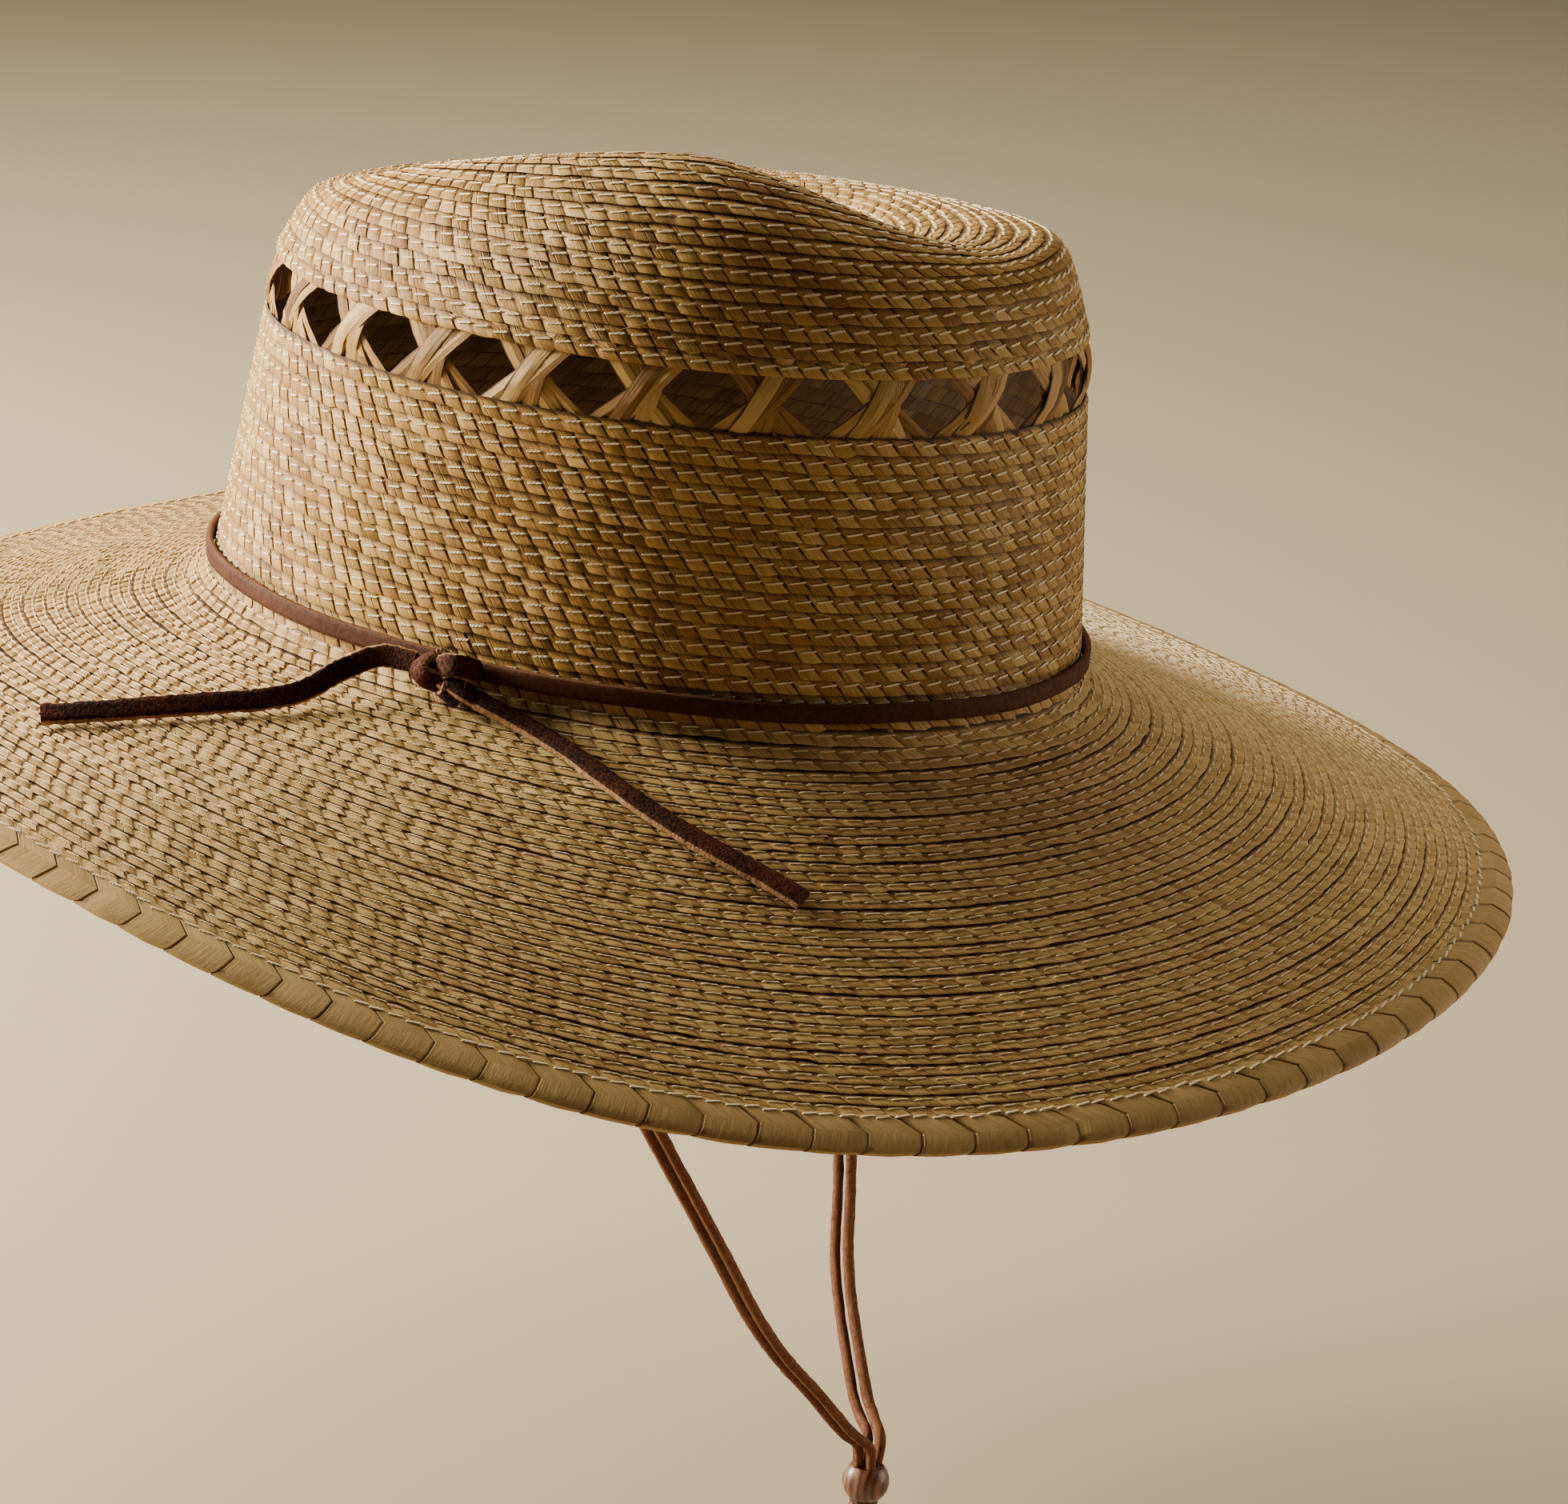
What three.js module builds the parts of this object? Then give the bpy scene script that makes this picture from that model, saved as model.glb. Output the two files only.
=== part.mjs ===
// A sewn palm-braid hat with an open vent row round the crown, a plaited brim edge, a leather
// lace for a hat band and a leather chin cord with a wooden bead.
//
// Millimetres, +Z up. The wearer faces -Y and the wearer's right side is -X. The origin is the
// middle of the head opening, level with the foot of the crown.

import * as THREE from "three";
import { mergeVertices } from "three/addons/utils/BufferGeometryUtils.js";

// Fits
const gap = 0.3; // between pieces that touch
const facetSag = 0.25; // how far a flat facet can lie inside the true oval

// Crown
const crownHalfLength = 105.5; // outside, at the foot of the crown, front to back
const crownHalfWidth = 80.1; // outside, side to side
const crownTaper = 0.1415; // taken off the half length for each millimetre of height
const crownLean = 0.0455; // forward lean of the crown for each millimetre of height
const crownWall = 2; // thickness of the sewn braid
const ventFoot = 65; // height where the vent row starts
const ventHeight = 14.8;
const crownRise = 37.5; // from the top of the vent row to the top of the crown

// Vent row
const ventCount = 22;
const ventPhase = 0.8; // place of the first opening, as a share of the pitch
const ventRim = 0.9; // straw left above and below an opening
const ventWaist = 7.4; // width of a crossing at its waist
const ventHeadShare = 0.42; // half width of an opening at its top, as a share of the widest
const ventFootShare = 0.46; // half width of an opening at its foot
const ventNotchWidth = 5.2; // small gap between the feet of a crossing
const ventNotchHeight = 4.6;

// Brim
const brimWidth = 108; // from the crown to the outer edge, along the slope
const brimWall = 2;
const brimTurn = 10; // the stretch that curves up into the crown
const brimTurnRise = 3.2;
const bindingWidth = 10; // plaited edge
const bindingThickness = 3.8;

// Hat band
const laceWidth = 4.2;
const laceThickness = 2;
const bandHeight = 7.5; // middle of the band over the foot of the crown
const knotLength = 15;
const knotHeight = 11;
const knotDepth = 8;

// Chin cord
const cordDiameter = 2.8;
const beadDiameter = 11.2;
const stopKnotDiameter = 7.6;
const tabWidth = 13;
const tabHeight = 11;
const tabThickness = 2;
const strandSpacing = 3.3; // between two strands that run side by side

// Slope of the brim below level, in degrees, as waves round the oval
const brimSlope = [
  { turns: 0, cosine: 15.97, sine: 0 },
  { turns: 1, cosine: -2.9, sine: -6.53 },
  { turns: 2, cosine: -2.53, sine: 3.24 },
  { turns: 3, cosine: 1.15, sine: -3.66 },
];

// Crown top. Angles run from the wearer's left side (+X) towards the back (+Y). Each row gives
// heights over the vent row as shares of crownRise, on five rings between the vent and the tip.
const topRings = { edge: 0, shoulder: 0.075, flank: 0.2, ridge: 0.4, hollow: 0.7, tip: 1 };
const topSections = [
  { angle: 0, shoulder: 0.29, flank: 0.42, ridge: 0.485, hollow: 0.33 },
  { angle: 45, shoulder: 0.27, flank: 0.38, ridge: 0.43, hollow: 0.33 },
  { angle: 90, shoulder: 0.27, flank: 0.35, ridge: 0.4, hollow: 0.36 },
  { angle: 112, shoulder: 0.31, flank: 0.42, ridge: 0.48, hollow: 0.39 },
  { angle: 135, shoulder: 0.35, flank: 0.54, ridge: 0.65, hollow: 0.43 },
  { angle: 180, shoulder: 0.41, flank: 0.74, ridge: 0.93, hollow: 0.52 },
  { angle: 205, shoulder: 0.42, flank: 0.8, ridge: 1.0, hollow: 0.54 },
  { angle: 225, shoulder: 0.42, flank: 0.74, ridge: 0.89, hollow: 0.5 },
  { angle: 248, shoulder: 0.41, flank: 0.61, ridge: 0.67, hollow: 0.44 },
  { angle: 270, shoulder: 0.42, flank: 0.52, ridge: 0.5, hollow: 0.39 },
  { angle: 291, shoulder: 0.46, flank: 0.53, ridge: 0.5, hollow: 0.36 },
  { angle: 325, shoulder: 0.38, flank: 0.49, ridge: 0.52, hollow: 0.34 },
];
const tipHeight = 0.35;

// Cord routes, chosen by hand
const bandTailBack = [
  [-86.4, 8.3, 7.6], [-87.2, 16.0, 7.7], [-91.8, 22.8, 4.4], [-98.7, 28.1, 0.0],
  [-104.9, 34.1, -1.8], [-112.9, 44.9, -3.3], [-123.4, 58.0, -5.0], [-133.4, 71.3, -6.6],
];
const bandTailFront = [
  [-87.8, -8.6, 3.0], [-87.0, -19.7, -0.3], [-89.0, -31.2, -2.9], [-92.2, -42.9, -6.0],
  [-94.7, -57.1, -10.2], [-95.3, -70.3, -14.0], [-94.7, -82.6, -17.5], [-94.5, -91.3, -20.3],
];
const chinRight = [
  [-76.0, 4.0, 3.4], [-76.0, 3.9, -5.0], [-75.0, -13.0, -36.0], [-71.2, -34.0, -70.0], [-65.0, -48.0, -94.5],
  [-59.0, -53.6, -108.4], [-51.0, -59.2, -124.6], [-39.6, -63.6, -143.2],
  [-28.6, -66.6, -156.8], [-18.4, -71.6, -169.0], [-9.4, -76.4, -180.6],
];
const chinLeft = [
  [76.0, 4.0, 3.4], [76.0, 3.9, -5.0], [73.6, -9.0, -42.0], [66.6, -25.0, -82.0],
  [55.4, -37.6, -116.0], [42.4, -46.8, -141.0], [30.6, -53.4, -157.4], [23.4, -59.0, -166.4],
  [16.4, -65.2, -174.6], [9.6, -71.6, -182.4],
];
const beadCentre = [0, -78.6, -196.4];

const straw = new THREE.MeshStandardMaterial({ color: 0xc9a063, roughness: 0.7, metalness: 0 });
const strawEdge = new THREE.MeshStandardMaterial({ color: 0xb9965a, roughness: 0.7, metalness: 0 });
const leather = new THREE.MeshStandardMaterial({ color: 0x5a2a17, roughness: 0.85, metalness: 0 });
const wood = new THREE.MeshStandardMaterial({ color: 0x5b2d1c, roughness: 0.45, metalness: 0 });

const radians = THREE.MathUtils.degToRad;
const lengthSegments = 72;

// Geometry from a list of points and a list of triangles
function solid(points, faces) {
  const geometry = new THREE.BufferGeometry();
  const flat = points.flatMap((p) => [p.x, p.y, p.z]);
  geometry.setAttribute("position", new THREE.Float32BufferAttribute(flat, 3));
  geometry.setIndex(faces.flat());
  const merged = mergeVertices(geometry, 1e-3);
  merged.computeVertexNormals();
  return merged;
}

// A closed ring of sections: each is a loop of points that runs clockwise, seen with the way
// out to the right, and the last section meets the first one again.
function ringSolid(sections) {
  const n = sections.length;
  const m = sections[0].length;
  const faces = [];
  for (let i = 0; i < n; i++) {
    for (let j = 0; j < m; j++) {
      const a = i * m + j;
      const b = i * m + ((j + 1) % m);
      const c = ((i + 1) % n) * m + ((j + 1) % m);
      const d = ((i + 1) % n) * m + j;
      faces.push([a, b, c], [a, c, d]);
    }
  }
  return solid(sections.flat(), faces);
}

// A bar of sections with flat ends
function barSolid(sections) {
  const n = sections.length;
  const m = sections[0].length;
  const faces = [];
  for (let i = 0; i + 1 < n; i++) {
    for (let j = 0; j < m; j++) {
      const a = i * m + j;
      const b = i * m + ((j + 1) % m);
      faces.push([a, b + m, b], [a, a + m, b + m]);
    }
  }
  const last = (n - 1) * m;
  for (let j = 1; j + 1 < m; j++) {
    faces.push([0, j, j + 1], [last, last + j + 1, last + j]);
  }
  return solid(sections.flat(), faces);
}

// The foot oval, and the way out from it, at an angle
function outward(angle) {
  const x = Math.cos(angle) * crownHalfLength;
  const y = Math.sin(angle) * crownHalfWidth;
  return new THREE.Vector3(x, y, 0).normalize();
}

// Outer face of the crown's side at a height, moved out by an offset
function crownPoint(angle, height, offset = 0) {
  const halfLength = crownHalfLength - crownTaper * height;
  const x = crownHalfWidth * Math.cos(angle);
  const y = halfLength * Math.sin(angle) - crownLean * height;
  return new THREE.Vector3(x, y, height).addScaledVector(outward(angle), offset);
}

function slopeAt(angle) {
  let degrees = 0;
  for (const wave of brimSlope) {
    degrees += wave.cosine * Math.cos(wave.turns * angle);
    degrees += wave.sine * Math.sin(wave.turns * angle);
  }
  return radians(degrees);
}

// Upper face of the brim at a distance along its slope, moved up by an offset
function brimPoint(angle, distance, offset = 0) {
  const slope = slopeAt(angle);
  const out = distance * Math.cos(slope) + offset * Math.sin(slope);
  const rest = Math.max(0, 1 - distance / brimTurn);
  const turn = brimTurnRise * rest * rest;
  const height = turn - distance * Math.sin(slope) + offset * Math.cos(slope);
  const foot = crownPoint(angle, 0, out);
  return new THREE.Vector3(foot.x, foot.y, height);
}

function angles(count) {
  return Array.from({ length: count }, (_, i) => (i / count) * Math.PI * 2);
}

// Angles that share out the oval's length evenly, for the vent row
function evenAngles(count, phase) {
  const steps = 1440;
  const height = ventFoot + ventHeight / 2;
  const lengths = [0];
  let before = crownPoint(0, height);
  for (let i = 1; i <= steps; i++) {
    const here = crownPoint((i / steps) * Math.PI * 2, height);
    lengths.push(lengths[i - 1] + here.distanceTo(before));
    before = here;
  }
  const total = lengths[steps];
  const angleAt = (share) => {
    const wanted = (share - Math.floor(share)) * total;
    const i = Math.max(1, lengths.findIndex((length) => length >= wanted));
    const part = (wanted - lengths[i - 1]) / (lengths[i] - lengths[i - 1]);
    return ((i - 1 + part) / steps) * Math.PI * 2;
  };
  return { pitch: total / count, at: (copy) => angleAt((copy + phase) / count) };
}

// Smooth value through points given at rising places, by a Catmull-Rom curve
function smooth(places, values, place) {
  const n = places.length;
  let i = 0;
  while (i < n - 2 && place > places[i + 1]) i++;
  const step = places[i + 1] - places[i];
  const t = (place - places[i]) / step;
  const slopeOf = (k) => {
    const low = Math.max(0, k - 1);
    const high = Math.min(n - 1, k + 1);
    return (values[high] - values[low]) / (places[high] - places[low]);
  };
  const a = slopeOf(i) * step;
  const b = slopeOf(i + 1) * step;
  const rise = values[i + 1] - values[i];
  return values[i] + t * (a + t * (3 * rise - 2 * a - b + t * (a + b - 2 * rise)));
}

// A column of the crown top's table, at any angle
function topShare(column, angle) {
  const n = topSections.length;
  const full = Math.PI * 2;
  const places = [];
  const values = [];
  for (let k = -2; k < n + 2; k++) {
    const row = topSections[(k + n) % n];
    places.push(radians(row.angle) + Math.floor(k / n) * full);
    values.push(row[column]);
  }
  return smooth(places, values, angle);
}

// Outer face of the crown top: inset 0 is the vent row's upper edge and 1 the tip
function topPoint(angle, inset) {
  const foot = ventFoot + ventHeight + gap;
  const columns = ["shoulder", "flank", "ridge", "hollow"];
  const places = [topRings.edge, ...columns.map((c) => topRings[c]), topRings.tip];
  const values = [0, ...columns.map((c) => topShare(c, angle)), tipHeight];
  const rise = crownRise * smooth(places, values, inset);
  const rim = crownPoint(angle, foot);
  const centre = new THREE.Vector3(0, -crownLean * foot, 0);
  const point = rim.sub(centre).multiplyScalar(1 - inset).add(centre);
  point.z = foot + rise;
  return point;
}

function topNormal(angle, inset) {
  const d = 1e-3;
  const low = Math.max(0, inset - d);
  const high = Math.min(0.995, inset + d);
  const across = topPoint(angle, high).sub(topPoint(angle, low));
  const along = topPoint(angle + d, inset).sub(topPoint(angle - d, inset));
  return across.cross(along).normalize().negate();
}

// Crown top: an outer and an inner skin that meet round the foot
function crownTop() {
  const insets = [0, 0.02, 0.05, 0.09, 0.15, 0.23, 0.33, 0.44, 0.57, 0.72, 0.87];
  const round = angles(64);
  const points = [];
  const skins = [0, 1].map((inner) =>
    insets.map((inset) =>
      round.map((angle) => {
        const p = topPoint(angle, inset);
        if (inner && inset === 0) {
          p.copy(crownPoint(angle, ventFoot + ventHeight + gap, -crownWall));
        } else if (inner) {
          p.addScaledVector(topNormal(angle, inset), -crownWall);
        }
        points.push(p);
        return points.length - 1;
      }),
    ),
  );
  const tips = [0, 1].map((inner) => {
    const tip = topPoint(0, 1);
    tip.z -= inner * crownWall;
    points.push(tip);
    return points.length - 1;
  });
  const faces = [];
  const n = round.length;
  const quad = (a, b, c, d) => faces.push([a, b, c], [a, c, d]);
  for (let i = 0; i < n; i++) {
    const k = (i + 1) % n;
    for (let j = 0; j + 1 < insets.length; j++) {
      const [outer, inner] = skins;
      quad(outer[j][i], outer[j][k], outer[j + 1][k], outer[j + 1][i]);
      quad(inner[j][i], inner[j + 1][i], inner[j + 1][k], inner[j][k]);
    }
    const last = insets.length - 1;
    faces.push([skins[0][last][i], skins[0][last][k], tips[0]]);
    faces.push([skins[1][last][k], skins[1][last][i], tips[1]]);
    quad(skins[1][0][i], skins[1][0][k], skins[0][0][k], skins[0][0][i]);
  }
  return solid(points, faces);
}

function crownSide() {
  const foot = brimTurnRise + gap;
  const heights = [foot, ventFoot];
  return ringSolid(
    angles(lengthSegments).map((angle) => [
      ...heights.map((h) => crownPoint(angle, h)).reverse(),
      ...heights.map((h) => crownPoint(angle, h, -crownWall)),
    ]),
  );
}

// Vent row: one crossing of two folded palm strips, repeated round the crown. The crossing is
// laid out flat as convex patches, each a loop of [x, z] places.
function ventPatches(pitch) {
  const half = pitch / 2;
  const height = ventHeight - gap;
  const waist = ventWaist / 2;
  const widest = half - waist;
  const middle = height / 2;
  const head = half - widest * ventHeadShare;
  const foot = half - widest * ventFootShare;
  const notch = ventNotchWidth / 2;
  const peak = ventRim + ventNotchHeight;
  const top = height - ventRim;
  const strip = (xs, low, high) =>
    xs.slice(1).map((x, i) => [[xs[i], low], [x, low], [x, high], [xs[i], high]]);
  return [
    ...strip([-half, -foot, -notch, notch, foot, half], 0, ventRim),
    [[-foot, ventRim], [-notch, ventRim], [0, peak], [-waist, middle]],
    [[waist, middle], [0, peak], [notch, ventRim], [foot, ventRim]],
    [[-waist, middle], [0, peak], [waist, middle]],
    [[-waist, middle], [waist, middle], [head, top], [0, top], [-head, top]],
    ...strip([-half, -head, 0, head, half], top, height),
  ];
}

function ventRow() {
  const spread = evenAngles(ventCount, ventPhase);
  const triangles = [];
  for (const patch of ventPatches(spread.pitch)) {
    for (let i = 1; i + 1 < patch.length; i++) {
      triangles.push([patch[0], patch[i], patch[i + 1]]);
    }
  }
  const area = ([a, b, c]) => (b[0] - a[0]) * (c[1] - a[1]) - (b[1] - a[1]) * (c[0] - a[0]);
  const facing = triangles.map((t) => (area(t) > 0 ? t : [t[0], t[2], t[1]]));
  const edges = facing.flatMap(([a, b, c]) => [[a, b], [b, c], [c, a]]);
  const seen = new Set(edges.map((edge) => edge.flat().join(" ")));
  const joint = ([a, b]) => a[0] === b[0] && Math.abs(a[0]) === spread.pitch / 2;
  const open = ([a, b]) => !seen.has([b, a].flat().join(" "));
  const rims = edges.filter((edge) => open(edge) && !joint(edge));
  const points = [];
  const faces = [];
  const corner = (copy, [x, z], offset) => {
    const angle = spread.at(copy + 0.5 + x / spread.pitch);
    points.push(crownPoint(angle, ventFoot + gap + z, offset));
    return points.length - 1;
  };
  for (let copy = 0; copy < ventCount; copy++) {
    for (const [a, b, c] of facing) {
      faces.push([a, b, c].map((place) => corner(copy, place, 0)));
      faces.push([a, c, b].map((place) => corner(copy, place, -crownWall)));
    }
    for (const [a, b] of rims) {
      const outer = [a, b].map((place) => corner(copy, place, 0));
      const inner = [a, b].map((place) => corner(copy, place, -crownWall));
      faces.push([outer[0], inner[0], inner[1]], [outer[0], inner[1], outer[1]]);
    }
  }
  return solid(points, faces);
}

function brim() {
  const distances = [0, 0.25, 0.55, 1, 5].map((share) => share * brimTurn);
  const edge = brimWidth - bindingWidth - gap;
  return ringSolid(
    angles(lengthSegments).map((angle) => {
      const upper = [...distances.filter((d) => d < edge), edge].map((d) => brimPoint(angle, d));
      const lower = distances.filter((d) => d > 0 && d < edge);
      const under = [...lower, edge].map((d) => brimPoint(angle, d, -brimWall)).reverse();
      const lip = crownPoint(angle, 0, -crownWall);
      const lipTop = new THREE.Vector3(lip.x, lip.y, brimTurnRise);
      const lipFoot = new THREE.Vector3(lip.x, lip.y, brimTurnRise - brimWall);
      return [lipTop, ...upper, ...under, lipFoot];
    }),
  );
}

function brimEdge() {
  const inner = brimWidth - bindingWidth;
  const middle = -brimWall / 2;
  const half = bindingThickness / 2;
  const section = [
    [0, -0.9], [0, 0.9], [0.75, 1], [1, 0.3], [1, -0.3], [0.75, -1],
  ];
  return ringSolid(
    angles(lengthSegments).map((angle) =>
      section.map(([along, up]) =>
        brimPoint(angle, inner + along * bindingWidth, middle + up * half),
      ),
    ),
  );
}

function hatBand() {
  const half = laceWidth / 2;
  return ringSolid(
    angles(64).map((angle) => [
      crownPoint(angle, bandHeight - half, gap + laceThickness),
      crownPoint(angle, bandHeight - half, gap),
      crownPoint(angle, bandHeight + half, gap),
      crownPoint(angle, bandHeight + half, gap + laceThickness),
    ]),
  );
}

function bandKnot() {
  const geometry = new THREE.SphereGeometry(0.5, 16, 10);
  geometry.deleteAttribute("normal");
  geometry.deleteAttribute("uv");
  geometry.rotateX(Math.PI / 2);
  geometry.scale(knotDepth, knotLength, knotHeight);
  return mergeVertices(geometry, 1e-3);
}

// A lace along a route: flat, with its width across the given way up, or round
function lace(route, width, thickness, ups) {
  const curve = new THREE.CatmullRomCurve3(route.map((p) => new THREE.Vector3(...p)));
  const steps = Math.max(4, Math.round(curve.getLength() / (width * 2.6)));
  const corners = [[-1, -0.6], [-0.8, -1], [0.8, -1], [1, -0.6], [1, 0.6], [0.8, 1], [-0.8, 1], [-1, 0.6]];
  const sections = [];
  for (let i = 0; i <= steps; i++) {
    const share = i / steps;
    const point = curve.getPointAt(share);
    const along = curve.getTangentAt(share);
    const place = share * (ups.length - 1);
    const k = Math.min(ups.length - 2, Math.floor(place));
    const up = new THREE.Vector3(...ups[k]).lerp(new THREE.Vector3(...ups[k + 1]), place - k);
    const across = new THREE.Vector3().crossVectors(along, up).normalize();
    up.crossVectors(across, along);
    sections.push(
      corners.map(([x, z]) =>
        point
          .clone()
          .addScaledVector(across, (x * width) / 2)
          .addScaledVector(up, (z * thickness) / 2),
      ),
    );
  }
  return barSolid(sections);
}

// A round cord along a route
function roundCord(route, diameter) {
  const curve = new THREE.CatmullRomCurve3(route.map((p) => new THREE.Vector3(...p)));
  const outline = angles(8).map((a) => new THREE.Vector2(Math.cos(a), Math.sin(a)));
  const section = new THREE.Shape(outline.map((p) => p.multiplyScalar(diameter / 2)));
  const steps = Math.round(curve.getLength() / (diameter * 3));
  const geometry = new THREE.ExtrudeGeometry(section, { steps, extrudePath: curve });
  geometry.deleteAttribute("normal");
  geometry.deleteAttribute("uv");
  return mergeVertices(geometry, 1e-3);
}

// One strand of the chin cord: the side's route, moved sideways, down to its place in the bead
function chinStrand(route, shift, side) {
  const bead = new THREE.Vector3(...beadCentre);
  const entry = strandSpacing / 2;
  const end = [bead.x + side * entry, bead.y + shift * entry, bead.z + beadFlat() + gap];
  const above = [end[0] + side * 1.1, end[1], end[2] + 5];
  const middle = new THREE.CatmullRomCurve3(route.map((p) => new THREE.Vector3(...p)));
  const moved = middle.points.map((point, i) => {
    const along = middle.getTangent(i / (route.length - 1));
    const sideways = new THREE.Vector3(0, 1, 0);
    sideways.addScaledVector(along, -along.y).normalize();
    return point.clone().addScaledVector(sideways, (shift * strandSpacing) / 2).toArray();
  });
  return roundCord([...moved, above, end], cordDiameter);
}

// Half height of the bead, between the flats where the strands go in
function beadFlat() {
  const flat = strandSpacing * 0.71 + cordDiameter / 2;
  return Math.sqrt(beadDiameter ** 2 / 4 - flat ** 2);
}

function chinBead() {
  const half = beadFlat();
  const start = Math.asin((2 * half) / beadDiameter);
  const profile = [new THREE.Vector2(0, -half)];
  for (let i = 0; i <= 8; i++) {
    const a = -start + (i / 8) * 2 * start;
    profile.push(new THREE.Vector2(Math.cos(a), Math.sin(a)).multiplyScalar(beadDiameter / 2));
  }
  profile.push(new THREE.Vector2(0, half));
  const geometry = new THREE.LatheGeometry(profile, 18);
  geometry.deleteAttribute("normal");
  geometry.deleteAttribute("uv");
  geometry.rotateX(Math.PI / 2);
  return mergeVertices(geometry, 1e-3);
}

function stopKnot() {
  const geometry = new THREE.SphereGeometry(stopKnotDiameter / 2, 12, 8);
  geometry.deleteAttribute("normal");
  geometry.deleteAttribute("uv");
  geometry.rotateX(Math.PI / 2);
  geometry.scale(1, 1, 0.8);
  return mergeVertices(geometry, 1e-3);
}

// Builds the hat
const hat = new THREE.Group();

function add(name, geometry, material, place = [0, 0, 0]) {
  const mesh = new THREE.Mesh(geometry, material);
  mesh.name = name;
  mesh.position.set(...place);
  hat.add(mesh);
}

add("crown_top", crownTop(), straw);
add("vent_row", ventRow(), straw);
add("crown_side", crownSide(), straw);
add("brim", brim(), straw);
add("brim_edge", brimEdge(), strawEdge);
add("hat_band", hatBand(), leather);

const knotOut = crownHalfWidth + gap + laceThickness + gap + knotDepth / 2;
add("band_knot", bandKnot(), leather, [-knotOut, 0, bandHeight - 0.8]);
add("band_tail_back", lace(bandTailBack, laceWidth, laceThickness, [[-1, -1, 0.2], [-1, -0.6, 0.9], [-0.5, -0.5, 1]]), leather);
add("band_tail_front", lace(bandTailFront, laceWidth, laceThickness, [[-0.3, 0, 1], [-0.35, -0.2, 1], [-0.4, -0.3, 1]]), leather);

add("chin_cord_right_front", chinStrand(chinRight, -1, -1), leather);
add("chin_cord_right_back", chinStrand(chinRight, 1, -1), leather);
add("chin_cord_left_front", chinStrand(chinLeft, -1, 1), leather);
add("chin_cord_left_back", chinStrand(chinLeft, 1, 1), leather);

const tab = new THREE.BoxGeometry(tabThickness, tabWidth, tabHeight);
const tabReach = (chinRight[0][1] + tabWidth / 2) / (crownHalfLength - crownWall);
const tabWallPlace = (crownHalfWidth - crownWall) * Math.sqrt(1 - tabReach ** 2);
const tabOut = tabWallPlace - gap - facetSag - tabThickness / 2;
const tabMiddle = chinRight[0][2] + gap + tabHeight / 2;
add("chin_tab_right", tab, leather, [-tabOut, chinRight[0][1], tabMiddle]);
add("chin_tab_left", tab, leather, [tabOut, chinLeft[0][1], tabMiddle]);

add("chin_bead", chinBead(), wood, beadCentre);
const knotDrop = beadFlat() + gap + stopKnotDiameter * 0.4;
add("chin_stop_knot", stopKnot(), leather, [beadCentre[0], beadCentre[1], beadCentre[2] - knotDrop]);

export default hat;
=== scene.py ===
# %% [markdown]
# # A sewn palm hat, dressed row by row
#
# The construction model gives this hat its true outline as plain solids. This lesson puts the
# straw on it. A real hat of this kind is one long flat palm braid, sewn round and round like
# roof tiles, with an open row of crossed palm strips, a plaited edge and leather laces. Each
# step says what a piece is on the real hat, how it could be made, and why this way was chosen.

import math

import bpy
import numpy as np
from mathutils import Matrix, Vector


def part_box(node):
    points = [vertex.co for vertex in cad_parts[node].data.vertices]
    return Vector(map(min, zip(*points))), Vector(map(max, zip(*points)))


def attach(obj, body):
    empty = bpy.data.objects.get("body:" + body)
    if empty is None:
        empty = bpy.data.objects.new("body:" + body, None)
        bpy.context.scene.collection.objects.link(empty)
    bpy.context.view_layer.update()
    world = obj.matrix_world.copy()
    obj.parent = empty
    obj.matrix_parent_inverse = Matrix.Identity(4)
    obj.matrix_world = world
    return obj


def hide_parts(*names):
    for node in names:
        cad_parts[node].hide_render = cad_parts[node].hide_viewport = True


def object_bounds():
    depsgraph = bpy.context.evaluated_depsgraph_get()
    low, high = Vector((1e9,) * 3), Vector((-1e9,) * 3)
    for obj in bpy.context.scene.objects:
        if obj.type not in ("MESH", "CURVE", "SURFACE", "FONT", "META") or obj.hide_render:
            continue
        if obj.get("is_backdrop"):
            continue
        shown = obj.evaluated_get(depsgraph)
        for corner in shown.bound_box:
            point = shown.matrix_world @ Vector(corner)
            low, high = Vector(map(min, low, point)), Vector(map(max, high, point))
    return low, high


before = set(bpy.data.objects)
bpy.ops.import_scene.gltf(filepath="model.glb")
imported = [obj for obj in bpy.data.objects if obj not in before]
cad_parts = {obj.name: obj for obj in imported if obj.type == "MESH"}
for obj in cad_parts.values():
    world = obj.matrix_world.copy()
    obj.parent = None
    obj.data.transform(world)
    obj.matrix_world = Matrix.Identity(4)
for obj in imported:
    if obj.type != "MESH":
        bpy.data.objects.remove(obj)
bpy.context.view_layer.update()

# %% [markdown]
# ## The camera
# The hat is seen from its wearer's right side, a little above the brim, through a long lens.
# The camera could be pointed with a Track To constraint, but the picture also leans a little,
# so its three turns are set as plain angles.

# %% Make the camera
camera = bpy.data.objects.new("camera", bpy.data.cameras.new("camera"))
bpy.context.scene.collection.objects.link(camera)
camera.location = (-0.862486, -0.442056, 0.280913)
camera.rotation_euler = [math.radians(a) for a in (72.2023, -5.0355, -63.3816)]
camera.data.lens = 100.456
camera.data.sensor_width = 36
camera.data.clip_start = 0.05
bpy.context.scene.camera = camera
print("Camera", round(camera.location.length, 3), "m from the hat's origin")

# %% [markdown]
# ## Smooth routes for the laces
# A lace is chosen as a few points that it passes through. A Bezier curve could join them, but
# a Catmull-Rom curve passes through every point with nothing to tune, so the lace lies where
# the construction model has it.


# %% A curve through chosen points
def walk(route):
    """The lengths walked to each point of a route."""
    return np.append(0, np.cumsum(np.linalg.norm(np.diff(route, axis=0), axis=1)))


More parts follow.
